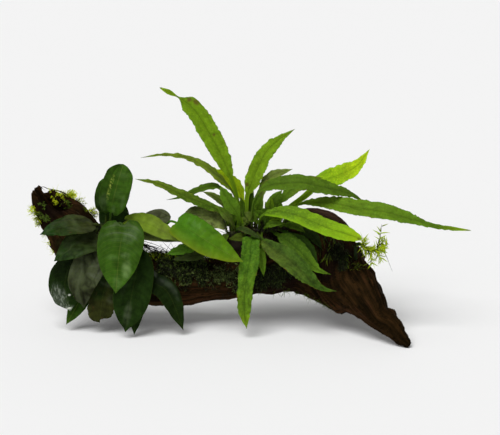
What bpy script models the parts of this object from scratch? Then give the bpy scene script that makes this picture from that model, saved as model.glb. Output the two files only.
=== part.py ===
"""A java fern and an anubias grown on a piece of driftwood, as aquarium shops sell them.

Everything is in metres with +Z up. The driftwood stands on the ground, z = 0, on three worn feet.
X runs along the log, and -Y is the side that is seen from the front. Places in the tables below
are in millimetres, and MM turns them into metres.
"""

import math

import bmesh
import bpy
from mathutils import Vector, noise

MM = 0.001
GAP = 0.3 * MM  # clearance between pieces that touch

# ---------------------------------------------------------------- driving dimensions

BLADE_THICKNESS = 0.9 * MM
STALK_RADIUS = 1.0 * MM
TIP_HALF_WIDTH = 0.5 * MM
STALK_ROWS = (0, 0.5)  # cross rows on a leaf's stalk, as shares of the stalk's length
MIDRIB_STEPS = 200  # points on a leaf's midrib, from which its rows take theirs

FERN_RHIZOME_RADIUS = 4.2 * MM
ANUBIAS_RHIZOME_RADIUS = 4.6 * MM

WOOD_STATIONS = 40  # rings along the driftwood, from the horn to the front foot
WOOD_SIDES = 16
WOOD_LUMP = 0.10  # how far knots and hollows move the surface, as a share of its radius
HORN_LAST_STATION = 7
TRUNK_LAST_STATION = 25

# The driftwood's centre line from the broken horn to the front foot:
# x, y, z, half height and half depth of the section, in mm.
DRIFTWOOD_SECTIONS = (
    (-195, 14, 123, 11, 11),
    (-189, 15, 115, 14, 13),
    (-181, 15, 107, 18, 16),
    (-171, 14, 95, 23, 19),
    (-161, 12, 79, 25, 20),
    (-138, 10, 61, 26, 22),
    (-106, 8, 46, 24, 22),
    (-67, 8, 43, 23, 22),
    (-34, 8, 44, 20, 21),
    (0, 9, 51, 23, 22),
    (33, 13, 59, 28, 23),
    (60, 15, 68, 43, 24),
    (78, 5, 56, 37, 22),
    (90, -9, 47, 30, 20),
    (103, -25, 40, 23, 17),
    (113, -39, 31, 17, 14),
    (121, -49, 23, 12, 11),
    (131, -58, 17, 10, 9),
    (139, -66, 9, 7, 6),
    (147, -73, 2, 3, 3),
)

# Side roots that hold the log up: x, y, z, half height and half depth, in mm.
LEFT_ROOT_SECTIONS = (
    (-131, 10, 58, 16, 15),
    (-126, 11, 36, 12, 12),
    (-120, 13, 18, 8, 9),
    (-117, 15, -4, 6, 7),
)
BACK_ROOT_SECTIONS = (
    (66, 22, 72, 19, 15),
    (84, 40, 55, 15, 13),
    (100, 55, 32, 11, 10),
    (111, 65, 10, 8, 8),
    (114, 69, -5, 7, 7),
)

FERN_RHIZOME_LINE = ((-23, 8, 87), (-10, 10, 89), (3, 10, 91), (16, 8, 93), (28, 4, 96), (37, 0, 98))
ANUBIAS_RHIZOME_LINE = (
    (-158, -8, 100), (-148, -4, 98), (-137, 2, 95), (-125, 4, 89), (-114, 4, 83), (-105, 5, 78))

# Half widths of a blade from its base to its tip, at even steps, as shares of its widest half.
SMALL_LANCE = (0.25, 0.75, 1, 0.92, 0.6, 0.08)
EGG = (0.35, 0.88, 1, 0.94, 0.75, 0.44, 0.05)
HEART = (0.6, 0.95, 1, 0.92, 0.74, 0.43, 0.05)
OVAL = (0.4, 0.83, 0.98, 1, 0.93, 0.7, 0.2)
LOW_OVAL = (0.4, 0.78, 0.95, 1, 0.9, 0.58, 0.05)


class Leaf:
    """One leaf: where its stalk leaves the rhizome, the line of its midrib, and its blade.

    stem_x: the x of its foot on the rhizome, mm.  line: points of the midrib after the foot, mm.
    width: widest blade, mm.  face: the way the upper side looks at mid-blade.
    blade_from: share of the line's length at which the stalk ends.  outline: see SMALL_LANCE.
    fold: how far the halves rise from the midrib, as a slope.
    twist: turn of the blade about its midrib by its tip, degrees.
    """

    def __init__(self, stem_x, line, width, face, blade_from, outline, fold=0.15, twist=0):
        self.stem_x = stem_x
        self.line = line
        self.width = width
        self.face = face
        self.blade_from = blade_from
        self.outline = outline
        self.fold = fold
        self.twist = twist


FERN_LEAVES = {
    "fern_leaf_tall": Leaf(
        -7, [(-11, 12, 118), (-18, 10, 143), (-28, 13, 166), (-40, 17, 188), (-52, 22, 206), (-66, 26, 217),
             (-86, 30, 227)],
        18, (0.1, -1, 0.2), 0.3, (0.16, 0.45, 0.66, 0.83, 0.97, 1, 0.86, 0.6, 0.24, 0.36, 0.06)),
    "fern_leaf_arching_left": Leaf(
        -11, [(-12, 20, 114), (-18, 22, 129), (-32, 24, 143), (-49, 24, 155), (-66, 21, 162), (-85, 18, 164),
              (-104, 14, 162)],
        13, (0.05, -0.45, 1), 0.3, (0.2, 0.75, 1, 0.95, 0.75, 0.55, 0.4, 0.25, 0.06)),
    "fern_leaf_yellow_left": Leaf(
        -4, [(-6, 26, 114), (-14, 30, 131), (-28, 34, 140), (-45, 38, 149)],
        14, (0, -0.9, 0.4), 0.35, SMALL_LANCE),
    "fern_leaf_long_left": Leaf(
        -15, [(-21, 3, 108), (-34, 0, 116), (-51, -3, 124), (-68, -5, 132), (-88, -4, 141), (-109, 2, 144)],
        13, (0, -0.5, 0.9), 0.2, (0.3, 0.8, 1, 1, 0.95, 0.8, 0.6, 0.35, 0.06)),
    "fern_leaf_hooked": Leaf(
        -14.5, [(-22, 21, 120), (-30, 24, 131), (-40, 24, 132), (-53, 22, 128), (-66, 18, 123), (-80, 14, 121)],
        10, (0, -0.5, 0.9), 0.35, (0.3, 0.9, 1, 0.85, 0.6, 0.3, 0.06)),
    "fern_leaf_olive": Leaf(
        -18, [(-22, 12, 112), (-31, 12, 123), (-45, 10, 130)],
        9, (0, -0.6, 0.8), 0.35, SMALL_LANCE),
    "fern_leaf_short_bright": Leaf(
        -8, [(-12, -5, 112), (-20, -10, 125), (-28, -14, 141)],
        13, (-0.2, -1, 0.3), 0.35, SMALL_LANCE),
    "fern_leaf_short_pale": Leaf(
        -12, [(-19, -1, 105), (-25, -4, 113), (-31, -6, 120)],
        9, (-0.2, -1, 0.3), 0.35, SMALL_LANCE),
    "fern_leaf_upright": Leaf(
        -1, [(-3, 18, 120), (1, 20, 135), (7, 24, 149), (15, 29, 164), (27, 34, 175), (43, 40, 185)],
        16, (0.1, -1, 0.25), 0.28, (0.3, 0.78, 0.96, 1, 0.95, 0.82, 0.58, 0.3, 0.06)),
    "fern_leaf_arching_right": Leaf(
        2, [(3, 2, 120), (10, -2, 134), (21, -6, 140), (34, -8, 142), (48, -10, 143), (62, -9, 140), (77, -6, 136),
            (94, 1, 130), (110, 6, 120)],
        17, (0, -0.7, 0.7), 0.22, (0.15, 0.55, 0.88, 1, 1, 0.95, 0.83, 0.62, 0.33, 0.06)),
    "fern_leaf_long_right": Leaf(
        34, [(38, 16, 110), (48, 10, 118), (60, 4, 121), (76, -4, 122), (91, -12, 121), (107, -15, 119),
             (127, -20, 117), (144, -23, 113), (162, -26, 108), (178, -27, 104), (207, -28, 101)],
        18, (0, -0.7, 0.7), 0.15, (0.25, 0.5, 0.82, 0.98, 1, 1, 0.86, 0.5, 0.25, 0.17, 0.06)),
    "fern_leaf_yellow_right": Leaf(
        26, [(37, 28, 110), (51, 32, 119), (70, 36, 134), (87, 42, 140), (103, 47, 147), (116, 52, 163)],
        20, (-0.2, -0.9, 0.5), 0.42, (0.25, 0.7, 0.95, 1, 0.95, 0.85, 0.6, 0.3, 0.06)),
    "fern_leaf_front_right": Leaf(
        9, [(9, -6, 105), (17, -12, 112), (31, -20, 116), (47, -26, 114), (61, -31, 109), (75, -35, 104),
            (88, -39, 101), (104, -42, 96)],
        18, (0, -0.7, 0.7), 0.2, (0.3, 0.65, 0.88, 0.98, 1, 1, 0.97, 0.85, 0.2)),
    "fern_leaf_hanging": Leaf(
        1, [(3, -10, 90), (1, -20, 86), (0, -31, 73), (-3, -37, 59), (-5, -42, 39), (-5, -44, 24), (-3, -45, 10)],
        18, (0, -1, 0.1), 0.22, (0.6, 0.82, 0.88, 0.97, 1, 0.89, 0.8, 0.79, 0.7, 0.45, 0.05)),
    "fern_leaf_hanging_small": Leaf(
        12, [(10, -10, 85), (11, -20, 74), (13, -24, 55)],
        8, (0, -1, 0.1), 0.3, SMALL_LANCE),
    "fern_leaf_spotted": Leaf(
        6, [(12, -18, 89), (23, -27, 82), (34, -33, 76), (47, -39, 66), (58, -43, 56), (69, -45, 49),
            (81, -46, 47)],
        20, (-0.1, -0.85, 0.5), 0.2, (0.3, 0.7, 0.92, 1, 0.97, 0.85, 0.65, 0.42, 0.2, 0.06)),
    "fern_leaf_low_right": Leaf(
        18, [(25, -8, 93), (35, -17, 89), (45, -24, 82), (54, -29, 73), (64, -32, 64), (76, -34, 60)],
        14, (0, -0.8, 0.6), 0.25, (0.3, 0.8, 1, 1, 0.85, 0.6, 0.3, 0.06)),
    "fern_leaf_shaded_upper": Leaf(
        30, [(42, -5, 99), (58, -11, 93), (68, -16, 80)],
        10, (0, -0.9, 0.5), 0.25, SMALL_LANCE),
    "fern_leaf_shaded_lower": Leaf(
        24, [(36, -10, 94), (54, -18, 84), (64, -22, 66)],
        10, (0, -0.9, 0.5), 0.25, SMALL_LANCE),
    "fern_leaf_small_front": Leaf(
        -4, [(-6, -10, 91), (-11, -16, 91), (-20, -20, 91)],
        9, (0, -0.8, 0.6), 0.3, SMALL_LANCE),
    "fern_leaf_grey_upright": Leaf(
        10, [(11, 24, 113), (12, 27, 128), (21, 30, 141), (41, 34, 147)],
        10, (0, -0.9, 0.4), 0.35, SMALL_LANCE),
    "fern_leaf_behind_right": Leaf(
        17, [(25, 20, 112), (38, 23, 127), (56, 25, 138), (70, 26, 140)],
        12, (0, -0.8, 0.6), 0.3, SMALL_LANCE),
    "fern_leaf_young_centre": Leaf(
        6, [(7, 12, 110), (9, 10, 119), (11, 8, 126)],
        7, (0, -1, 0.2), 0.4, SMALL_LANCE),
    "fern_leaf_young_right": Leaf(
        15, [(18, -4, 101), (24, -8, 104), (30, -10, 106)],
        6, (0, -0.8, 0.6), 0.35, SMALL_LANCE),
    "fern_leaf_brown": Leaf(
        -20, [(-27, 4, 101), (-35, 2, 107), (-45, 0, 109), (-66, 0, 108)],
        20, (0, -0.75, 0.65), 0.3, SMALL_LANCE),
    "fern_leaf_low_left": Leaf(
        -22, [(-35, -4, 85), (-55, -10, 81), (-80, -12, 74)],
        11, (0, -0.9, 0.5), 0.35, SMALL_LANCE),
}

ANUBIAS_LEAVES = {
    "anubias_leaf_upright": Leaf(
        -133, [(-129, -14, 116), (-123, -19, 139), (-115, -16, 160)],
        28, (0, -1, 0.15), 0.26, OVAL),
    "anubias_leaf_upright_back": Leaf(
        -138, [(-136, -4, 113), (-135, -7, 130), (-129, -5, 147)],
        23, (-0.2, -1, 0.1), 0.28, OVAL),
    "anubias_leaf_dark_back": Leaf(
        -129, [(-130, 13, 104), (-131, 15, 116), (-131, 18, 129)],
        29, (0.05, -1, 0.2), 0.3, HEART),
    "anubias_leaf_left_upper": Leaf(
        -143, [(-145, -8, 102), (-164, -22, 105), (-183, -27, 102), (-197, -28, 97)],
        25, (0, -0.6, 0.8), 0.2, EGG),
    "anubias_leaf_left_middle": Leaf(
        -145, [(-150, -12, 93), (-164, -25, 89), (-182, -30, 74)],
        25, (-0.1, -0.7, 0.7), 0.4, EGG),
    "anubias_leaf_front": Leaf(
        -131, [(-125, -18, 105), (-119, -30, 105), (-122, -44, 80), (-125, -50, 46)],
        43, (0, -1, 0.25), 0.35, HEART),
    "anubias_leaf_grey": Leaf(
        -139, [(-141, -14, 84), (-150, -26, 69), (-158, -32, 49), (-157, -30, 26)],
        32, (-0.2, -1, 0.2), 0.3, EGG),
    "anubias_leaf_wet": Leaf(
        -154, [(-159, -16, 84), (-168, -19, 70), (-175, -22, 47), (-170, -26, 22)],
        33, (-0.3, -1, 0.1), 0.3, (0.3, 0.62, 0.88, 1, 0.95, 0.7, 0.1)),
    "anubias_leaf_low_left": Leaf(
        -142, [(-145, -9, 87), (-149, -16, 66), (-156, -17, 45), (-164, -18, 26), (-175, -20, 7)],
        20, (-0.2, -1, 0), 0.45, EGG),
    "anubias_leaf_ragged": Leaf(
        -134, [(-134, -18, 68), (-136, -24, 51), (-140, -28, 33), (-142, -29, 12)],
        25, (0, -1, 0.1), 0.3, (0.35, 0.8, 0.97, 1, 1, 0.92, 0.55)),
    "anubias_leaf_low_front": Leaf(
        -125, [(-117, -20, 80), (-106, -30, 70), (-111, -40, 41), (-117, -45, 7)],
        36, (0.15, -1, 0.15), 0.3, LOW_OVAL),
    "anubias_leaf_low_back": Leaf(
        -121, [(-112, -16, 74), (-111, -24, 52), (-111, -34, 27), (-109, -40, 3)],
        16, (0.2, -1, 0.1), 0.4, EGG),
    "anubias_leaf_low_right": Leaf(
        -116, [(-104, -19, 74), (-94, -25, 53), (-79, -30, 43), (-71, -34, 29), (-63, -35, 6)],
        22, (0.35, -0.9, 0.3), 0.38, EGG),
    "anubias_leaf_pale_right": Leaf(
        -128, [(-120, -2, 101), (-114, -4, 105), (-97, -8, 103), (-80, -11, 95), (-63, -12, 87)],
        20, (0, -0.6, 0.8), 0.22, EGG),
    "anubias_leaf_behind_right": Leaf(
        -118, [(-108, 8, 93), (-102, 12, 98), (-90, 16, 103), (-76, 20, 103)],
        13, (0, -0.7, 0.7), 0.35, EGG),
    "anubias_leaf_young": Leaf(
        -111, [(-100, 3, 92), (-86, 3, 104), (-76, -7, 110), (-70, -18, 110), (-56, -26, 105), (-40, -33, 97),
               (-22, -38, 85), (-6, -42, 75)],
        28, (0.1, -0.8, 0.6), 0.42, EGG),
}

# Moss mats that hug the driftwood: first and last station, first and last side, thickness in mm.
# Side 0 is the top of the section, side 4 the front and side 12 the back.
MOSS_MATS = {
    "moss_on_trunk": (12, 18, -3, 4, 4.0),
    "moss_below_fern": (19, 25, 3, 6, 3.0),
    "moss_on_shoulder": (28, 32, 2, 5, 3.5),
}

# Loose moss tufts: centre, half sizes in mm, and the wood that they grow against.
MOSS_TUFTS = {
    "moss_on_horn_side": ((-201, 4, 106), (9, 10, 20), "driftwood_horn"),
    "moss_on_horn_rim": ((-175, 13, 122), (13, 12, 9), "driftwood_horn"),
    "moss_tuft_right": ((117, -22, 78), (18, 12, 18), "driftwood_front_limb"),
}

# The felt of roots under the fern: centre, half sizes, and the height of its top at mid length with
# the slope of that top, which follows the rhizome.
ROOT_MAT_CENTRE = (-2, 8, 75)
ROOT_MAT_HALF_SIZES = (29, 18, 11)
ROOT_MAT_TOP = 83.5 * MM
ROOT_MAT_SLOPE = 0.14

COLOURS = {
    "wood": (0.045, 0.022, 0.013),
    "fern": (0.12, 0.30, 0.03),
    "anubias": (0.035, 0.11, 0.02),
    "rhizome": (0.10, 0.12, 0.04),
    "roots": (0.03, 0.017, 0.01),
    "moss": (0.20, 0.34, 0.04),
}


# ---------------------------------------------------------------- shared helpers

def clear_scene():
    for old in list(bpy.data.objects):
        bpy.data.objects.remove(old, do_unlink=True)


def new_collection(name):
    collection = bpy.data.collections.new(name)
    bpy.context.scene.collection.children.link(collection)
    return collection


def new_material(name, colour, roughness):
    material = bpy.data.materials.new(name)
    material.use_nodes = True
    shader = material.node_tree.nodes["Principled BSDF"]
    shader.inputs["Base Color"].default_value = (*colour, 1)
    shader.inputs["Roughness"].default_value = roughness
    shader.inputs["Metallic"].default_value = 0
    return material


def add_object(name, bm, material, collection):
    """Makes an object of the bmesh, shaded smooth except at its sharp edges."""
    mesh = bpy.data.meshes.new(name)
    bm.to_mesh(mesh)
    bm.free()
    mesh.shade_smooth()
    mesh.set_sharp_from_angle(angle=math.radians(50))
    obj = bpy.data.objects.new(name, mesh)
    obj.data.materials.append(material)
    collection.objects.link(obj)
    return obj


def as_cutter(obj):
    obj.hide_render = True
    obj.display_type = "WIRE"
    return obj


def cut(obj, cutter):
    modifier = obj.modifiers.new("cut " + cutter.name, "BOOLEAN")
    modifier.operation = "DIFFERENCE"
    modifier.solver = "EXACT"
    modifier.object = cutter


def spline_at(rows, share):
    """The row at this share of the way along a smooth curve through equally weighted rows of numbers."""
    spans = len(rows) - 1
    place = min(max(share, 0), 1) * spans
    i = min(int(place), spans - 1)
    t = place - i
    before = rows[max(i - 1, 0)]
    here = rows[i]
    after = rows[i + 1]
    beyond = rows[min(i + 2, spans)]
    return [
        b + 0.5 * t * (c - a + t * (2 * a - 5 * b + 4 * c - d + t * (3 * (b - c) + d - a)))
        for a, b, c, d in zip(before, here, after, beyond)
    ]


def even_rows(rows, count):
    """count + 1 rows of the smooth curve, spaced evenly by the distance between their first three numbers."""
    fine = [spline_at(rows, i / 400) for i in range(401)]
    run = [0.0]
    for a, b in zip(fine, fine[1:]):
        run.append(run[-1] + (Vector(b[:3]) - Vector(a[:3])).length)
    found = []
    j = 0
    for i in range(count + 1):
        wanted = run[-1] * i / count
        while j < 399 and run[j + 1] < wanted:
            j += 1
        t = (wanted - run[j]) / (run[j + 1] - run[j])
        found.append([a + (b - a) * min(t, 1) for a, b in zip(fine[j], fine[j + 1])])
    return found


def tangent(centres, i):
    return (centres[min(i + 1, len(centres) - 1)] - centres[max(i - 1, 0)]).normalized()


def bridge_rings(bm, rings):
    """Faces between neighbouring rings and over each end ring, all facing out."""
    for near, far in zip(rings, rings[1:]):
        for j in range(len(near)):
            k = (j + 1) % len(near)
            bm.faces.new((near[j], near[k], far[k], far[j]))
    bm.faces.new(rings[0][::-1])
    bm.faces.new(rings[-1])
    if bm.calc_volume(signed=True) < 0:
        bmesh.ops.reverse_faces(bm, faces=bm.faces)
    bmesh.ops.triangulate(bm, faces=bm.faces, quad_method="FIXED")


# ---------------------------------------------------------------- driftwood

def limb_point(centre, along, half_height, half_depth, angle, outwards=0.0):
    """A point of a limb's surface: angle 0 is its upper edge, and a quarter turn its front."""
    front = Vector((0, -1, 0))
    front = (front - front.dot(along) * along).normalized()
    upper = along.cross(front).normalized()
    if upper.z < 0:
        upper = -upper
    ring = Vector((math.cos(angle), math.sin(angle), 0))
    knots = noise.noise(Vector((centre.length / (22 * MM), 1.3 * ring.x, 1.3 * ring.y)) + centre / (60 * MM))
    furrows = noise.noise(Vector((centre.x / (70 * MM), 4 * ring.x, 4 * ring.y)))
    swell = 1 + WOOD_LUMP * knots + 0.6 * WOOD_LUMP * furrows
    return (centre + upper * ring.x * (half_height * swell + outwards)
            + front * ring.y * (half_depth * swell + outwards))


def wood_stations():
    rows = even_rows(DRIFTWOOD_SECTIONS, WOOD_STATIONS)
    centres = [Vector(row[:3]) * MM for row in rows]
    return centres, [(row[3] * MM, row[4] * MM) for row in rows]


WOOD_CENTRES, WOOD_SIZES = wood_stations()


def rim_shift(angle, along):
    """How the broken end's rim stands: a splinter that rises at the back left, low at the front right."""
    splinter = math.exp(-((angle - 1.05 * math.pi) / 0.5) ** 2)
    jag = 1.5 * noise.noise(Vector((3.1 * angle, 0, 0)))
    reach = (11 * math.cos(angle - 1.2 * math.pi) - 1 + 6 * splinter + jag) * MM
    return Vector((0.05 * reach, 0, reach)) if reach > 0 else -along * reach


def wood_point(station, side, outwards=0.0, along_by=0.0):
    along = tangent(WOOD_CENTRES, station)
    angle = 2 * math.pi * (side % WOOD_SIDES) / WOOD_SIDES
    point = limb_point(WOOD_CENTRES[station], along, *WOOD_SIZES[station], angle, outwards) + along * along_by
    if station < 4:
        point += rim_shift(angle, along) * (1 - station / 4) ** 1.5
    return point


def hollow_rings(bm):
    """Two rings inside the broken end: the inner edge of its rim, and the floor of its hollow."""
    out = -tangent(WOOD_CENTRES, 0)
    rim, floor = [], []
    for side in range(WOOD_SIDES):
        edge = wood_point(0, side)
        level = WOOD_CENTRES[0] + out * (edge - WOOD_CENTRES[0]).dot(out)
        rim.append(bm.verts.new(level + (edge - level) * 0.68 - out * 0.5 * MM))
        wall = wood_point(2, side)
        floor.append(bm.verts.new(WOOD_CENTRES[2] + (wall - WOOD_CENTRES[2]) * 0.5))
    for vertex in floor:
        vertex.co -= out * (vertex.co - WOOD_CENTRES[2]).dot(out)
    return [floor, rim]


def driftwood_length(name, first, last, material, collection, outwards=0.0):
    """One length of the main log, from station first to station last, closed at both ends."""
    bm = bmesh.new()
    rings = []
    for station in range(first, last + 1):
        shift = 0.5 * GAP * ((station == first) - (station == last))
        rings.append([
            bm.verts.new(wood_point(station, side, outwards, shift - outwards * (station == 0)))
            for side in range(WOOD_SIDES)
        ])
    if first == 0 and outwards == 0:
        rings = hollow_rings(bm) + rings
    bridge_rings(bm, rings)
    return add_object(name, bm, material, collection)


def side_root(name, sections, rings_along, material, collection):
    """A root that leaves the log and stands on the ground."""
    rows = even_rows(sections, rings_along)
    centres = [Vector(row[:3]) * MM for row in rows]
    bm = bmesh.new()
    rings = []
    for i, row in enumerate(rows):
        along = tangent(centres, i)
        rings.append([
            bm.verts.new(limb_point(centres[i], along, row[3] * MM, row[4] * MM, 2 * math.pi * j / 12))
            for j in range(12)
        ])
    bridge_rings(bm, rings)
    return add_object(name, bm, material, collection)


def ground_cutter(collection, material):
    bm = bmesh.new()
    bmesh.ops.create_cube(bm, size=1)
    bmesh.ops.scale(bm, vec=(0.6, 0.4, 0.1), verts=bm.verts)
    bmesh.ops.translate(bm, vec=(0, 0, -0.05), verts=bm.verts)
    return as_cutter(add_object("ground_cutter", bm, material, collection))


def build_driftwood(parts, cutters, material):
    lengths = {
        "driftwood_horn": (0, HORN_LAST_STATION),
        "driftwood_trunk": (HORN_LAST_STATION, TRUNK_LAST_STATION),
        "driftwood_front_limb": (TRUNK_LAST_STATION, WOOD_STATIONS),
    }
    ground = ground_cutter(cutters, material)
    grown = {}
    for name, (first, last) in lengths.items():
        driftwood_length(name, first, last, material, parts)
        grown[name] = as_cutter(
            driftwood_length(name + "_cutter", first, last, material, cutters, outwards=1.2 * GAP))
    cut(bpy.data.objects["driftwood_front_limb"], ground)
    left = side_root("driftwood_left_root", LEFT_ROOT_SECTIONS, 6, material, parts)
    back = side_root("driftwood_back_root", BACK_ROOT_SECTIONS, 9, material, parts)
    for name in ("driftwood_horn", "driftwood_trunk"):
        cut(left, grown[name])
    for name in ("driftwood_trunk", "driftwood_front_limb"):
        cut(back, grown[name])
    for root in (left, back):
        cut(root, ground)
    return grown


# ---------------------------------------------------------------- rhizomes

def rhizome(name, line, radius, material, collection):
    """A creeping stem, knobbly where old leaves stood."""
    curve = bpy.data.curves.new(name, "CURVE")
    curve.dimensions = "3D"
    curve.bevel_depth = radius
    curve.bevel_resolution = 2
    curve.use_fill_caps = True
    rows = even_rows(line, 3 * (len(line) - 1))
    spline = curve.splines.new("POLY")
    spline.points.add(len(rows) - 1)
    for i, (point, row) in enumerate(zip(spline.points, rows)):
        point.co = (*(Vector(row) * MM), 1)
        ends = 0.6 if i in (0, len(rows) - 1) else 1
        point.radius = ends * (0.93 if i % 2 else 1)
    obj = bpy.data.objects.new(name, curve)
    obj.data.materials.append(material)
    collection.objects.link(obj)
    return obj


def rhizome_place(line, x):
    """The rhizome's centre at this x, and the way it runs there."""
    rows = [Vector(p) for p in even_rows(line, 60)]
    i = min(range(len(rows)), key=lambda n: abs(rows[n].x - x))
    return rows[i] * MM, tangent(rows, i)


# ---------------------------------------------------------------- leaves

def leaf_foot(leaf, line, radius):
    """Where the stalk leaves the rhizome: straight out of its skin, towards the next point of the stalk."""
    centre, axis = rhizome_place(line, leaf.stem_x)
    way = (Vector(leaf.line[0]) * MM - centre).normalized()
    slant = abs(way.dot(axis))
    clear = (radius + GAP + 1.4 * STALK_RADIUS * slant) / math.sqrt(1 - slant * slant)
    return (centre + way * clear) / MM


def leaf_solid(name, leaf, columns, lobe, rhizome_line, rhizome_radius, material, collection):
    """A stalk that widens into a blade: a strip laid along the midrib and thickened on both sides.

    lobe: how far the base of the blade reaches back beside the stalk, as a share of its length.
    """
    foot = leaf_foot(leaf, rhizome_line, rhizome_radius)
    centres = [Vector(p) * MM for p in even_rows([foot, *leaf.line], MIDRIB_STEPS)]
    blade_length = (1 - leaf.blade_from) * sum((b - a).length for a, b in zip(centres, centres[1:]))
    middle = round(MIDRIB_STEPS * (1 + leaf.blade_from) / 2)
    across = tangent(centres, middle).cross(Vector(leaf.face)).normalized()
    last = len(leaf.outline) - 1
    rows = [(leaf.blade_from * r, None) for r in STALK_ROWS]
    rows += [(leaf.blade_from + (1 - leaf.blade_from) * i / last, i) for i in range(last + 1)]

    bm = bmesh.new()
    bmesh.ops.create_grid(bm, x_segments=columns, y_segments=len(rows) - 1, size=1)
    deform = bm.verts.layers.deform.verify()
    for vertex in bm.verts:
        side = vertex.co.x
        share, i = rows[round((vertex.co.y + 1) / 2 * (len(rows) - 1))]
        u = 0 if i is None else i / last
        step = round(share * MIDRIB_STEPS)
        along = tangent(centres, step)
        out = (across - across.dot(along) * along).normalized()
        turn = math.radians(leaf.twist) * u
        out = out * math.cos(turn) + out.cross(along) * math.sin(turn)
        up = out.cross(along)
        half = 0 if i is None else leaf.outline[i] * leaf.width * MM / 2
        width = max(half, TIP_HALF_WIDTH if u > 0.5 else STALK_RADIUS)
        back = lobe * blade_length * side * side * (1 - u) ** 3 if half else 0
        vertex.co = centres[step] + out * side * width + up * leaf.fold * abs(side) * half - along * back
        vertex[deform][0] = 1 if half else 0
    strip = add_object(name, bm, material, collection)
    shell = strip.modifiers.new("thickness", "SOLIDIFY")
    shell.thickness = 2 * STALK_RADIUS
    shell.offset = 0
    shell.vertex_group = strip.vertex_groups.new(name="blade").name
    shell.invert_vertex_group = True
    shell.thickness_vertex_group = BLADE_THICKNESS / shell.thickness
    return strip


# ---------------------------------------------------------------- moss and roots

def moss_mat(name, first, last, first_side, last_side, thickness, material, collection):
    """A mat of moss on the log: it follows the bark, thickest in the middle and thin at its edges."""
    bm = bmesh.new()
    stations = last - first
    sides = last_side - first_side
    bmesh.ops.create_grid(bm, x_segments=stations, y_segments=sides, size=1)
    deform = bm.verts.layers.deform.verify()
    for vertex in bm.verts:
        i = round((vertex.co.x + 1) / 2 * stations)
        j = round((vertex.co.y + 1) / 2 * sides)
        edge = i in (0, stations) or j in (0, sides)
        vertex.co = wood_point(first + i, first_side + j, 3 * GAP)
        lump = 0.5 + 0.5 * noise.noise(Vector((1.3 * i, 1.7 * j, thickness)))
        vertex[deform][0] = 0.2 if edge else 0.55 + 0.45 * lump
    mat = add_object(name, bm, material, collection)
    shell = mat.modifiers.new("thickness", "SOLIDIFY")
    shell.thickness = thickness * MM
    shell.offset = -1
    shell.vertex_group = mat.vertex_groups.new(name="thick").name
    return mat


def moss_tuft(name, centre, half_sizes, seed, material, collection):
    """A spiky cushion of moss fronds: a ball with some of its points drawn out."""
    bm = bmesh.new()
    bmesh.ops.create_icosphere(bm, subdivisions=3, radius=1)
    for i, vertex in enumerate(bm.verts):
        spike = noise.noise(Vector((1.9 * i, seed, 0.5)))
        reach = 1 if spike > 0.12 else 0.72 + 0.1 * noise.noise(vertex.co * 2)
        vertex.co = Vector(a * b * reach for a, b in zip(vertex.co, half_sizes)) * MM + Vector(centre) * MM
    return add_object(name, bm, material, collection)


def root_mat(collection, material):
    """The dark felt of roots that ties the fern's rhizome to the log."""
    bm = bmesh.new()
    bmesh.ops.create_icosphere(bm, subdivisions=2, radius=1)
    for vertex in bm.verts:
        swell = 1 + 0.25 * noise.noise(vertex.co * 2.5)
        size = Vector(a * b for a, b in zip(vertex.co, ROOT_MAT_HALF_SIZES))
        vertex.co = (Vector(ROOT_MAT_CENTRE) + size * swell) * MM
        vertex.co.z = min(vertex.co.z, ROOT_MAT_TOP + ROOT_MAT_SLOPE * vertex.co.x)
    return add_object("fern_root_mat", bm, material, collection)


# ---------------------------------------------------------------- the whole piece

def main():
    clear_scene()
    parts = new_collection("java_fern_on_driftwood")
    cutters = new_collection("cutters")
    skins = {name: new_material(name, colour, 0.6) for name, colour in COLOURS.items()}

    grown = build_driftwood(parts, cutters, skins["wood"])
    rhizome("fern_rhizome", FERN_RHIZOME_LINE, FERN_RHIZOME_RADIUS, skins["rhizome"], parts)
    rhizome("anubias_rhizome", ANUBIAS_RHIZOME_LINE, ANUBIAS_RHIZOME_RADIUS, skins["rhizome"], parts)
    for name, leaf in FERN_LEAVES.items():
        leaf_solid(name, leaf, 2, 0, FERN_RHIZOME_LINE, FERN_RHIZOME_RADIUS, skins["fern"], parts)
    for name, leaf in ANUBIAS_LEAVES.items():
        leaf_solid(name, leaf, 4, 0.12, ANUBIAS_RHIZOME_LINE, ANUBIAS_RHIZOME_RADIUS, skins["anubias"], parts)
    for name, mat in MOSS_MATS.items():
        moss_mat(name, *mat, skins["moss"], parts)
    for seed, (name, (centre, half_sizes, wood)) in enumerate(MOSS_TUFTS.items()):
        cut(moss_tuft(name, centre, half_sizes, seed, skins["moss"], parts), grown[wood])
    cut(root_mat(parts, skins["roots"]), grown["driftwood_trunk"])


main()
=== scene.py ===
"""The looks of a java fern and an anubias grown on driftwood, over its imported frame.

Metres, +Z up. The tables of places are in millimetres, and MM turns them into metres.
"""

import math
import random

import bpy
import numpy as np
from mathutils import Matrix, Vector, kdtree, noise
from mathutils.bvhtree import BVHTree


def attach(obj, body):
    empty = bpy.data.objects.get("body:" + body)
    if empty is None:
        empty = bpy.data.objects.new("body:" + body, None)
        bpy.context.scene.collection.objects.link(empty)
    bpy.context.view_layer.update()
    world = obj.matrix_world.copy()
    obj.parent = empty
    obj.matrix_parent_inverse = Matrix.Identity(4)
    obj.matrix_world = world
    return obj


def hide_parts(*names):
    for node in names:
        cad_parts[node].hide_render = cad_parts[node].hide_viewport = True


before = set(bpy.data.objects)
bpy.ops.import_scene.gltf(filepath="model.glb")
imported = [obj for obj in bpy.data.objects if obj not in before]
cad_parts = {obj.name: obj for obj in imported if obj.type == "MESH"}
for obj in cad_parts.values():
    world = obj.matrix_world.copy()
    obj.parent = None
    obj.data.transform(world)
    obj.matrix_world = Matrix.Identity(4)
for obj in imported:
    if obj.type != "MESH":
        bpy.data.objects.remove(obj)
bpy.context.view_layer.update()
MM = 0.001

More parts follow.
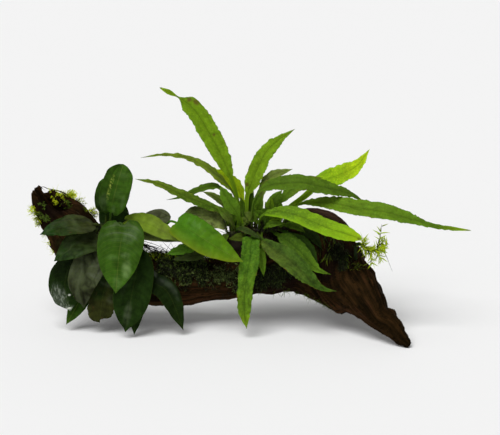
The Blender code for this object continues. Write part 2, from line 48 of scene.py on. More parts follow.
# ================================================================ driftwood
# One piece of dark, waterlogged bog wood: a log with a hollow, broken horn at its left end, a thick
# shoulder that tapers to a foot at the front, and two side roots. Grown, so it is one skin with no
# seam at its forks. Long fibres and furrows run along each limb.

# Centre lines from end to end: x, y, z, half height and half depth of the section, in mm.
LOG = (
    (-199, 14, 121, 14, 11), (-193, 15, 111.5, 19, 14), (-185, 15, 104.5, 22.5, 17),
    (-173, 14, 93.5, 25.5, 20), (-162, 12, 78, 27, 20), (-138, 10, 61, 26, 22), (-106, 8, 46, 24, 22),
    (-67, 8, 43, 23, 22),
    (-34, 8, 44, 20, 21), (0, 9, 51, 23, 22), (33, 13, 59, 28, 23), (60, 15, 68, 43, 24),
    (78, 5, 56, 37, 22), (90, -9, 47, 30, 20), (103, -25, 40, 23, 17), (113, -39, 31, 17, 14),
    (121, -49, 23, 12, 11), (131, -58, 17, 10, 9), (139, -66, 9, 7, 6), (147, -73, 2, 3, 3),
)
LEFT_ROOT = ((-131, 10, 58, 16, 15), (-126, 11, 36, 12, 12), (-120, 13, 18, 8, 9), (-117, 15, -4, 6, 7))
BACK_ROOT = (
    (66, 22, 72, 19, 15), (84, 40, 55, 15, 13), (100, 55, 32, 11, 10), (111, 65, 10, 8, 8),
    (114, 69, -5, 7, 7),
)
WOOD_LUMP = 0.10  # how far knots and hollows move the surface, as a share of its radius
RIM_SHARE = 0.1  # share of the log over which the broken rim rises and falls
HOLLOW_SHARE = 0.10  # how deep the hollow end is
# The rim's height in mm at even steps from its upper side round by the front, the lower side and the
# back to its upper side again.
RIM = [(height,) for height in (-5, -22, -18, -5, 4, 8, 11, 14, 16, 16, 16, 14, 4, 2, 3, 1, -5)]
RIM_WALL = 0.78  # the rim's inner edge, as a share of its outer one
HOLLOW_FLOOR = 0.68
WOOD_VOXEL = 1.05 * MM  # the finest form that the log's skin holds before its fibres are carved
FIBRE = 0.45 * MM  # depth of the fine fibres
FURROW = 1.2 * MM
CRACK = 1.2 * MM
LOG_RINGS = 220
LOG_SIDES = 96
ROOT_RINGS = 60
GRAIN_STEPS = 200
FINE_STEPS = 400  # how finely a curve is measured before it is cut into even steps
DRIFTWOOD_NODES = (
    "driftwood_horn", "driftwood_trunk", "driftwood_front_limb", "driftwood_left_root",
    "driftwood_back_root",
)
# Burls (+) and worn hollows (-): a place on the skin, their radius and height in mm.
BURLS = (
    ((121, -20, 52), 7, -2.6), ((134, -50, 29), 8, 3.0), ((128, -44, 40), 6, -1.5),
    ((135, -66, 18), 3.5, -1.8), ((57, 2, 33), 10, 2.4), ((72, -8, 25), 8, -1.8), ((86, -18, 20), 9, 2.2),
    ((-70, 10, 20), 12, 2.0),
    ((-20, 12, 24), 10, 1.8), ((-104, -14, 44), 8, -1.6), ((-45, -13, 46), 9, -1.5), ((88, -30, 52), 7, 1.6),
    ((64, 40, 86), 9, 2.2), ((40, 35, 60), 11, -2.2), ((-60, 30, 42), 12, 2.0), ((-150, 30, 72), 9, -2.0),
    ((104, -42, 40), 6, 1.4), ((8, 4, 29), 15, -3.5), ((42, 2, 31), 11, 2.6), ((-183, 0, 104), 6, -1.6),
    ((75, 10, 96), 8, 1.6), ((98, -4, 66), 7, 1.5),
)
WOOD_DARK = (0.0050, 0.0030, 0.0008)
WOOD_BROWN = (0.0280, 0.0140, 0.0038)
WOOD_RED = (0.0520, 0.0205, 0.0075)
WOOD_FIBRE = (0.0520, 0.0225, 0.0075)
WOOD_MILDEW = (0.0160, 0.0200, 0.0050)
WOOD_BARE_HIGHLIGHT = (0.1500, 0.0850, 0.0600)
WOOD_PAINTED_SHADE = (0.0042, 0.0020, 0.0014)
# Middles and radii in mm of the paler dry wood, with a painted highlight, on the shoulder's top, and of the
# black painted shade in the broken end's hollow and on the log's front.
BARE_HIGHLIGHT_PLACES = (((74, 22, 106), 24),)
PAINTED_SHADE_PLACES = (
    ((-189, 4, 117), 19), ((-180, 12, 112), 15), ((-192, 4, 106), 14), ((84, -14, 76), 20),
    ((72, -14, 58), 16), ((30, -12, 44), 24),
)
# The grain winds round the shoulder as it turns down: mm along the log from and to, and the turn.
GRAIN_TWIST = (262, 392, 2.1)


def spline_at(rows, share):
    """The row at this share of the way along a smooth curve through equally weighted rows of numbers."""
    spans = len(rows) - 1
    place = min(max(share, 0), 1) * spans
    i = min(int(place), spans - 1)
    t = place - i
    four = (rows[max(i - 1, 0)], rows[i], rows[i + 1], rows[min(i + 2, spans)])
    return [
        b + 0.5 * t * (c - a + t * (2 * a - 5 * b + 4 * c - d + t * (3 * (b - c) + d - a)))
        for a, b, c, d in zip(*four)
    ]


def even_rows(rows, count):
    """count + 1 rows of the smooth curve, evenly spaced by the distance between their first three numbers."""
    fine = [spline_at(rows, i / FINE_STEPS) for i in range(FINE_STEPS + 1)]
    run = [0.0]
    for a, b in zip(fine, fine[1:]):
        run.append(run[-1] + math.dist(a[:3], b[:3]))
    found = []
    j = 0
    for i in range(count + 1):
        wanted = run[-1] * i / count
        while j < FINE_STEPS - 1 and run[j + 1] < wanted:
            j += 1
        t = (wanted - run[j]) / (run[j + 1] - run[j])
        found.append([a + (b - a) * min(t, 1) for a, b in zip(fine[j], fine[j + 1])])
    return found


def tangent(centres, i):
    """The direction of a line of points at one of them."""
    return (centres[min(i + 1, len(centres) - 1)] - centres[max(i - 1, 0)]).normalized()


def limb_axes(along):
    """The front and upper directions of a limb's section."""
    front = Vector((0, -1, 0))
    front = (front - front.dot(along) * along).normalized()
    upper = along.cross(front).normalized()
    return front, upper if upper.z > 0 else -upper


def limb_point(centre, along, half_height, half_depth, angle, outwards=0.0):
    """A point of a limb's surface: angle 0 is its upper edge, and a quarter turn its front."""
    front, upper = limb_axes(along)
    ring = Vector((math.cos(angle), math.sin(angle), 0))
    knots = noise.noise(Vector((centre.length / (22 * MM), 1.3 * ring.x, 1.3 * ring.y)) + centre / (60 * MM))
    furrows = noise.noise(Vector((centre.x / (70 * MM), 4 * ring.x, 4 * ring.y)))
    swell = 1 + WOOD_LUMP * knots + 0.6 * WOOD_LUMP * furrows
    return (centre + upper * ring.x * (half_height * swell + outwards)
            + front * ring.y * (half_depth * swell + outwards))


def limb_line(sections, count):
    """Centres, sizes in metres and directions at even steps along a limb."""
    rows = even_rows(sections, count)
    centres = [Vector(row[:3]) * MM for row in rows]
    sizes = [(row[3] * MM, row[4] * MM) for row in rows]
    return centres, sizes, [tangent(centres, i) for i in range(count + 1)]


LOG_STEPS = 400  # how finely a share of the log's length is told apart
LOG_LINE = limb_line(LOG, LOG_STEPS)


def rim_shift(angle, along):
    """How far the broken end's rim stands above a clean cut, or is split down along the grain."""
    jag = 0.9 * noise.noise(Vector((7 * angle, 5, 0)))
    reach = (spline_at(RIM, angle / (2 * math.pi))[0] + jag) * MM
    return Vector((0.2 * reach, 0, reach)) if reach > 0 else -along * reach


def log_point(share, angle, outwards=0.0):
    """A point on the log's skin, or above it, at this share of its length."""
    centres, sizes, alongs = LOG_LINE
    i = min(max(round(share * LOG_STEPS), 0), LOG_STEPS)
    point = limb_point(centres[i], alongs[i], *sizes[i], angle, outwards)
    if share < RIM_SHARE:
        point += rim_shift(angle % (2 * math.pi), alongs[i]) * (1 - share / RIM_SHARE) ** 1.5
    return point


def loft(verts, faces, rings):
    """Adds rings of points that run anticlockwise about their way, joined and closed at both ends."""
    first = len(verts)
    count = len(rings[0])
    for ring in rings:
        verts.extend(ring)
    for i in range(len(rings) - 1):
        for j in range(count):
            a = first + i * count + j
            b = first + i * count + (j + 1) % count
            faces.append((a, b, b + count, a + count))
    faces.append(tuple(first + j for j in reversed(range(count))))
    faces.append(tuple(len(verts) - count + j for j in range(count)))


def hollow_rings(sides):
    """Two rings inside the broken end: the inner edge of its rim, and the floor of its hollow."""
    centres, _, alongs = LOG_LINE
    out = -alongs[0]
    deep = round(HOLLOW_SHARE * LOG_STEPS)
    rim, floor = [], []
    for angle in sides:
        edge = log_point(0, angle)
        level = centres[0] + out * (edge - centres[0]).dot(out)
        rim.append(level + (edge - level) * RIM_WALL - out * 0.5 * MM)
        wall = log_point(HOLLOW_SHARE, angle) - centres[deep]
        floor.append(centres[deep] + (wall - out * wall.dot(out)) * HOLLOW_FLOOR)
    return [floor, rim]


def new_mesh(name, verts, faces):
    """A mesh of these points and faces."""
    mesh = bpy.data.meshes.new(name)
    mesh.from_pydata(verts, [], faces)
    return mesh


def rough_log():
    """The overlapping forms of the log and its side roots, before they are grown together."""
    verts, faces = [], []
    sides = [-2 * math.pi * j / LOG_SIDES for j in range(LOG_SIDES)]
    skin = [[log_point(i / LOG_RINGS, angle) for angle in sides] for i in range(LOG_RINGS + 1)]
    loft(verts, faces, hollow_rings(sides) + skin)
    for sections in (LEFT_ROOT, BACK_ROOT):
        centres, sizes, alongs = limb_line(sections, ROOT_RINGS)
        loft(verts, faces, [
            [limb_point(centres[i], alongs[i], *sizes[i], angle) for angle in sides[::2]]
            for i in range(ROOT_RINGS + 1)
        ])
    return bpy.data.objects.new("rough_log", new_mesh("rough_log", verts, faces))


def grown_together(rough, voxel):
    """One even skin over overlapping forms, with the forks rounded as the wood grew."""
    bpy.context.scene.collection.objects.link(rough)
    grow = rough.modifiers.new("grow together", "REMESH")
    grow.mode = "VOXEL"
    grow.voxel_size = voxel
    soften = rough.modifiers.new("soften", "SMOOTH")
    soften.factor = 0.5
    soften.iterations = 4
    depsgraph = bpy.context.evaluated_depsgraph_get()
    mesh = bpy.data.meshes.new_from_object(rough.evaluated_get(depsgraph))
    bpy.data.objects.remove(rough)
    return mesh


def smooth(low, high, value):
    """0 at low and 1 at high, with a soft start and end."""
    t = min(max((value - low) / (high - low), 0), 1)
    return t * t * (3 - 2 * t)


def near_places(point, places):
    """1 at the middle of the nearest of these places, falling to 0 at its edge."""
    return max(max(0, 1 - (point - Vector(middle) * MM).length / (radius * MM)) for middle, radius in places)


def grain_places(points):
    """For each point: distance along its limb in mm, and its direction round the limb's section."""
    best = [(9.9,)] * len(points)
    for sections, seed in ((LOG, 0), (LEFT_ROOT, 600), (BACK_ROOT, 900)):
        centres, sizes, alongs = limb_line(sections, GRAIN_STEPS)
        step = (centres[1] - centres[0]).length / MM
        tree = kdtree.KDTree(len(centres))
        for i, centre in enumerate(centres):
            tree.insert(centre, i)
        tree.balance()
        axes = [limb_axes(along) for along in alongs]
        for n, point in enumerate(points):
            centre, i, distance = tree.find(point)
            near = distance / max(sizes[i])
            if near < best[n][0]:
                front, upper = axes[i]
                out = point - centre
                turn = math.atan2(out.dot(front) / sizes[i][1], out.dot(upper) / sizes[i][0])
                if sections is LOG:
                    turn -= GRAIN_TWIST[2] * smooth(*GRAIN_TWIST[:2], i * step)
                best[n] = (near, seed + i * step, math.cos(turn), math.sin(turn))
    return best


def wood_relief(s, x, y):
    """How far the wood's skin stands out at s mm along the grain, in metres, and its depth from 0 to 1."""
    fibre = noise.noise(Vector((9 * x, 9 * y, s / 26)))
    fine = noise.noise(Vector((17 * x, 17 * y, s / 9 + 7)))
    furrow = noise.noise(Vector((3.6 * x, 3.6 * y, s / 30 + 3)))
    lump = noise.noise(Vector((2.3 * x, 2.3 * y, s / 11 + 11)))
    chip = noise.noise(Vector((6 * x, 6 * y, s / 5 + 31)))
    split = abs(noise.noise(Vector((4.6 * x, 4.6 * y, s / 55 + 19)) + Vector((lump, furrow, chip)) * 0.35))
    crack = max(0, 1 - split / 0.045)
    height = (FIBRE * (1 - 2.4 * abs(fibre)) + FIBRE * fine + FURROW * (furrow + 0.9 * lump)
              + 0.6 * FURROW * chip - CRACK * crack)
    depth = 0.6 + 0.5 * furrow + 0.4 * fine + 0.3 * chip - 0.9 * crack - 0.5 * abs(fibre)
    return height, min(max(depth, 0), 1)


class Socket:
    """A node's output. Arithmetic on it adds Math nodes, so that a mask reads as a formula."""

    def __init__(self, nodes, link):
        self.nodes = nodes
        self.link = link

    def math(self, operation, *values):
        return self.nodes.node("ShaderNodeMath", {"operation": operation}, dict(enumerate(values)))

    def __add__(self, other):
        return self.math("ADD", self, other)

    def __radd__(self, other):
        return self.math("ADD", other, self)

    def __sub__(self, other):
        return self.math("SUBTRACT", self, other)

    def __rsub__(self, other):
        return self.math("SUBTRACT", other, self)

    def __mul__(self, other):
        return self.math("MULTIPLY", self, other)

    def __rmul__(self, other):
        return self.math("MULTIPLY", other, self)

    def __pow__(self, other):
        return self.math("POWER", self, other)

    def __abs__(self):
        return self.math("ABSOLUTE", self)

    def sine(self):
        return self.math("SINE", self)

    def rise(self, low, high):
        """0 below low and 1 above high, smooth between; the other way round where low is the larger."""
        entries = {"Value": self, "From Min": low, "From Max": high}
        if low > high:
            entries = {"Value": self, "From Min": high, "From Max": low, "To Min": 1, "To Max": 0}
        return self.nodes.node("ShaderNodeMapRange", {"interpolation_type": "SMOOTHSTEP"}, entries)


class Nodes:
    """The nodes of a material or of the sky."""

    def __init__(self, tree):
        self.tree = tree

    def node(self, kind, settings=None, sockets=None, output=0):
        """Adds a node, its settings first, then the values or links of its sockets."""
        made = self.tree.nodes.new(kind)
        for setting, value in (settings or {}).items():
            setattr(made, setting, value)
        for socket, value in (sockets or {}).items():
            self.put(made.inputs[socket], value)
        return Socket(self, made.outputs[output])

    def put(self, entry, value):
        if isinstance(value, Socket):
            self.tree.links.new(value.link, entry)
        elif isinstance(value, tuple) and len(value) == 3 and entry.type == "RGBA":
            entry.default_value = (*value, 1)
        else:
            entry.default_value = value

    def blend(self, share, one, other):
        """One colour turning into the other as share goes from 0 to 1."""
        return self.node("ShaderNodeMix", {"data_type": "RGBA"}, {0: share, 6: one, 7: other}, 2)


class Finish(Nodes):
    """A material being made on its Principled shader."""

    def __init__(self, name, **steady):
        self.material = bpy.data.materials.new(name)
        self.material.use_nodes = True
        super().__init__(self.material.node_tree)
        self.shader = self.tree.nodes["Principled BSDF"]
        for socket, value in steady.items():
            self.shader.inputs[socket.replace("_", " ")].default_value = value

    def shade(self, colour, amount):
        """A colour made lighter or darker by a factor."""
        return self.node("ShaderNodeVectorMath", {"operation": "SCALE"}, {0: colour, "Scale": amount})

    def attribute(self, name, part=None):
        """A value stored on the mesh; part is 0, 1 or 2 of a stored vector."""
        if part is None:
            return self.node("ShaderNodeAttribute", {"attribute_name": name}, output=2)
        vector = self.node("ShaderNodeAttribute", {"attribute_name": name}, output=1)
        return self.node("ShaderNodeSeparateXYZ", sockets={0: vector}, output=part)

    def stretched(self, name, sizes, shift=0.0):
        """A stored vector divided by sizes, to stretch a texture along it."""
        vector = self.node("ShaderNodeAttribute", {"attribute_name": name}, output=1)
        entries = {0: vector, 1: tuple(1 / size for size in sizes), 2: (shift, shift, shift)}
        return self.node("ShaderNodeVectorMath", {"operation": "MULTIPLY_ADD"}, entries)

    def clouds(self, vector, scale=1.0, detail=3.0, roughness=0.5):
        return self.node(
            "ShaderNodeTexNoise", {"noise_dimensions": "3D"},
            {"Vector": vector, "Scale": scale, "Detail": detail, "Roughness": roughness})

    def bump(self, height, strength, distance):
        entries = {"Height": height, "Strength": strength, "Distance": distance}
        return self.node("ShaderNodeBump", None, entries)

    def done(self, **varying):
        for socket, value in varying.items():
            self.put(self.shader.inputs[socket.replace("_", " ")], value)
        return self.material


def wood_finish():
    """Dark wet wood: fine brown fibres over near black, greener in patches of algae, paler and drier with a
    painted highlight on the shoulder's top, and darker with painted shade in its furrows, cracks and black
    places.
    """
    wood = Finish("driftwood", Specular_IOR_Level=0.02)
    fibres = wood.clouds(wood.stretched("grain", (0.6, 0.6, 16)), detail=5, roughness=0.65)
    bands = wood.clouds(wood.stretched("grain", (3.2, 3.2, 40), 4), detail=4)
    pits = wood.clouds(wood.stretched("grain", (1.6, 1.6, 4), 9), detail=3)
    patches = wood.clouds(wood.node("ShaderNodeNewGeometry"), 30, detail=4)
    relief = wood.attribute("relief")
    # The relief darkens the furrows and cracks against the ridges, here and in the fibres' colour below:
    # painted shade.
    light = (fibres * 0.75 + bands * 0.35 + relief * 0.35 - 0.2).rise(0.32, 0.80)
    colour = wood.blend(light, WOOD_DARK, WOOD_BROWN)
    red = bands.rise(0.46, 0.66) * patches.rise(0.40, 0.60) * (0.2 + fibres * 0.9)
    colour = wood.blend(red, colour, WOOD_RED)
    colour = wood.blend((fibres + relief * 0.25).rise(0.70, 0.90) * 0.5, colour, WOOD_FIBRE)
    colour = wood.blend(patches.rise(0.58, 0.74) * 0.5, colour, WOOD_MILDEW)
    # Paler, drier wood on the shoulder's top, which also carries a painted highlight.
    colour = wood.blend(wood.attribute("bare") * fibres.rise(0.35, 0.62), colour, WOOD_BARE_HIGHLIGHT)
    # Black painted shade in the broken end's hollow and on the front of the shoulder and trunk.
    wet = (wood.attribute("painted_shade") + patches * 0.4 - 0.2).rise(0.05, 0.45)
    colour = wood.blend(wet * 0.8, colour, WOOD_PAINTED_SHADE)
    colour = wood.blend(pits.rise(0.36, 0.28) * 0.8, colour, WOOD_DARK)
    rough = 0.80 - 0.30 * bands.rise(0.4, 0.7)
    height = fibres + bands * 0.5 + pits * 0.5
    return wood.done(Base_Color=colour, Roughness=rough, Normal=wood.bump(height, 0.9, 0.9 * MM))


def show(name, mesh, finish, nodes=()):
    """A finished piece of the object, which stands for these solids."""
    mesh.shade_smooth()
    mesh.materials.clear()
    mesh.materials.append(finish)
    piece = bpy.data.objects.new(name, mesh)
    bpy.context.scene.collection.objects.link(piece)
    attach(piece, "root")
    if nodes:
        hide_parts(*nodes)
    return piece


def store(mesh, name, values):
    """Keeps one number or vector for each vertex, for the finish to read."""
    values = np.asarray(values, dtype=np.float32)
    kind = "FLOAT" if values.ndim == 1 else "FLOAT_VECTOR"
    mesh.attributes.new(name, kind, "POINT").data.foreach_set(
        "value" if values.ndim == 1 else "vector", values.ravel())


def driftwood():
    """The whole log, and its skin for the plants to hold on to."""
    mesh = grown_together(rough_log(), WOOD_VOXEL)
    points = [vertex.co.copy() for vertex in mesh.vertices]
    normals = [vertex.normal.copy() for vertex in mesh.vertices]
    for place, radius, height in BURLS:
        middle = Vector(place) * MM
        for point, normal in zip(points, normals):
            near = (point - middle).length / (radius * MM)
            if near < 1:
                point += normal * height * MM * (1 - near * near) ** 2
    grain, relief, bare, painted_shade = [], [], [], []
    for n, (_, s, x, y) in enumerate(grain_places(points)):
        height, depth = wood_relief(s, x, y)
        points[n] += normals[n] * height
        points[n].z = max(points[n].z, 0)
        grain.append((22 * x, 22 * y, s))
        relief.append(depth)
        bare.append(near_places(points[n], BARE_HIGHLIGHT_PLACES) ** 0.6)
        painted_shade.append(near_places(points[n], PAINTED_SHADE_PLACES))
    mesh.vertices.foreach_set("co", np.array(points, dtype=np.float32).ravel())
    store(mesh, "grain", grain)
    store(mesh, "relief", relief)
    store(mesh, "bare", bare)
    store(mesh, "painted_shade", painted_shade)
    show("driftwood", mesh, wood_finish(), DRIFTWOOD_NODES)
    return BVHTree.FromPolygons(points, [tuple(face.vertices) for face in mesh.polygons])


WOOD_SKIN = driftwood()


def on_wood(point, lift=0.0):
    """The nearest place on the wood's skin, raised by lift, and the way out of the wood there."""
    place, normal, _, _ = WOOD_SKIN.find_nearest(point)
    return place + normal * lift, normal


# ================================================================ rhizomes
# The creeping stems that the leaves stand on: the fern's is green-brown and scaly, the anubias's is
# smoother and ringed with the scars of old leaves. Each lies on the log, held there by its own roots.

FERN_RHIZOME_LINE = ((-23, 8, 87), (-10, 10, 89), (3, 10, 91), (16, 8, 93), (28, 4, 96), (37, 0, 98))
FERN_RHIZOME_RADIUS = 4.2 * MM
ANUBIAS_RHIZOME_LINE = (
    (-158, -8, 100), (-148, -4, 98), (-137, 2, 95), (-125, 4, 89), (-114, 4, 83), (-105, 5, 78))
ANUBIAS_RHIZOME_RADIUS = 4.6 * MM
FERN_STEM_COLOURS = ((0.005, 0.006, 0.0015), (0.030, 0.036, 0.007))
ANUBIAS_STEM_COLOURS = ((0.006, 0.009, 0.002), (0.035, 0.050, 0.010))
STEM_RINGS = 110
STEM_SIDES = 28
STEM_PLACES = 60  # how finely places along a rhizome are told apart


def line_points(rows, count):
    """Evenly spaced points along a smooth curve through rows in mm."""
    return [Vector(row) * MM for row in even_rows(rows, count)]


def side_axes(along):
    """Two directions across a line, such that the first, the second and the line are right-handed."""
    first = along.cross(Vector((0.31, 0.22, 0.93))).normalized()
    return first, along.cross(first)


def tube(verts, faces, centres, radii, sides):
    """Adds a closed tube along a line of points."""
    rings = []
    for i, centre in enumerate(centres):
        first, second = side_axes(tangent(centres, i))
        rings.append([
            centre + (first * math.cos(2 * math.pi * j / sides) + second * math.sin(2 * math.pi * j / sides))
            * radii[i]
            for j in range(sides)
        ])
    loft(verts, faces, rings)


def rhizome(name, line, radius, ring_gap, lump, colours):
    """A creeping stem with rounded ends, ringed and knobbly."""
    centres = line_points(line, STEM_RINGS)
    length = sum((b - a).length for a, b in zip(centres, centres[1:]))
    verts, faces, rings, stored = [], [], [], []
    for i, centre in enumerate(centres):
        first, second = side_axes(tangent(centres, i))
        s = length * i / STEM_RINGS
        end = min(1, (min(s, length - s) / radius + 0.12) ** 0.5)
        ring = []
        for j in range(STEM_SIDES):
            angle = 2 * math.pi * j / STEM_SIDES
            way = first * math.cos(angle) + second * math.sin(angle)
            scar = max(0, math.sin(2 * math.pi * s / ring_gap + 2 * noise.noise(way * 1.3))) ** 6
            knob = noise.noise(centre / (5 * MM) + way * 1.4)
            ring.append(centre + way * radius * end * (1 + lump * knob - 0.10 * scar))
            stored.append(0.5 + 0.5 * knob - 0.6 * scar)
        rings.append(ring)
    loft(verts, faces, rings)
    mesh = new_mesh(name, verts, faces)
    store(mesh, "relief", stored)
    stem = Finish(name, Specular_IOR_Level=0.12)
    speck = stem.clouds(stem.node("ShaderNodeNewGeometry"), 900, detail=4)
    colour = stem.blend((stem.attribute("relief") + speck * 0.8 - 0.4).rise(0.2, 0.8), *colours)
    finish = stem.done(Base_Color=colour, Roughness=0.6 - speck * 0.2, Normal=stem.bump(speck, 0.5, 0.4 * MM))
    show(name, mesh, finish, (name,))


rhizome("fern_rhizome", FERN_RHIZOME_LINE, FERN_RHIZOME_RADIUS, 3.2 * MM, 0.16, FERN_STEM_COLOURS)
rhizome("anubias_rhizome", ANUBIAS_RHIZOME_LINE, ANUBIAS_RHIZOME_RADIUS, 4.5 * MM, 0.07, ANUBIAS_STEM_COLOURS)


# ================================================================ fern fronds
# Java fern fronds: thin strap leaves with a firm midrib, wavy margins and drawn-out tips, each on a
# short stalk from the rhizome. Bright yellow-green where new, dark where old, some spotted brown.

MIDRIB_STEPS = 200
STALK_RADIUS = 1.0 * MM
LEAF_GLOW = (0.5, 1.0, 0.1)  # how far red, green and blue light spread inside a leaf, as shares
STALK_STEP = 2.5 * MM
BLADE_STEP = 1.1 * MM
FROND_THICKNESS = 0.22 * MM  # half of the blade's
# How many times deeper than usual the ripple of a crumpled or a flat frond is.
CRUMPLED = {"fern_leaf_hanging": 2.2, "fern_leaf_brown": 1.8, "fern_leaf_front_right": 0.55}
# How strongly a frond's colour changes from patch to patch, and the usual strength.
PATCHY = {
    "fern_leaf_hanging": 1.3, "fern_leaf_brown": 1.5, "fern_leaf_spotted": 1.5, "fern_leaf_olive": 1.3,
    "fern_leaf_front_right": 0.45,
}
PATCHES = 0.7
# Where the blade's skin has its points, from the midrib to the margin.
SIDES = (0, 0.03, 0.08, 0.16, 0.28, 0.42, 0.56, 0.70, 0.82, 0.91, 0.97, 1)
# Half widths of a small, pointed blade from base to tip, as shares of the widest.
SMALL_LANCE = (0.25, 0.75, 1, 0.92, 0.6, 0.08)

YELLOW = (0.350, 0.490, 0.007)
LIME = (0.200, 0.360, 0.007)
BRIGHT = (0.140, 0.250, 0.007)
FRESH = (0.118, 0.218, 0.005)
SUNNY = (0.115, 0.172, 0.010)
MEADOW = (0.082, 0.165, 0.008)
LEAF_GREEN = (0.060, 0.148, 0.008)
MIDDLE = (0.056, 0.112, 0.006)
SHADE = (0.040, 0.086, 0.005)
# SHADOW and NIGHT hold painted shade: they are the colours of the fronds that lie in shade.
SHADOW = (0.021, 0.048, 0.004)
NIGHT = (0.010, 0.020, 0.002)
OLIVE = (0.052, 0.080, 0.007)
KHAKI = (0.095, 0.135, 0.020)
BROWN = (0.050, 0.030, 0.010)
RUST = (0.150, 0.062, 0.010)
SPOT_BROWN = (0.085, 0.042, 0.010)
STALK_GREEN = (0.040, 0.058, 0.009)
GOLDEN = (0.136, 0.200, 0.013)
DUSKY = (0.067, 0.129, 0.007)
GREYED = (0.150, 0.205, 0.034)


class Leaf:
    """One leaf: where its stalk leaves the rhizome, the line of its midrib, its blade and its colours.

    stem_x: the x of its foot on the rhizome, mm.  line: points of the midrib after the foot, mm.
    width: widest blade, mm.  face: the way the upper side looks at mid-blade.
    blade_from: share of the line's length at which the stalk ends.
    outline: half widths of the blade from base to tip, as shares of the widest.
    base, tip: the blade's colours at its two ends.  spots: how much of it is spotted brown.
    """

    def __init__(self, stem_x, line, width, face, blade_from, outline, base, tip, spots=0.0):
        self.stem_x = stem_x
        self.line = line
        self.width = width
        self.face = face
        self.blade_from = blade_from
        self.outline = outline
        self.base = base
        self.tip = tip
        self.spots = spots


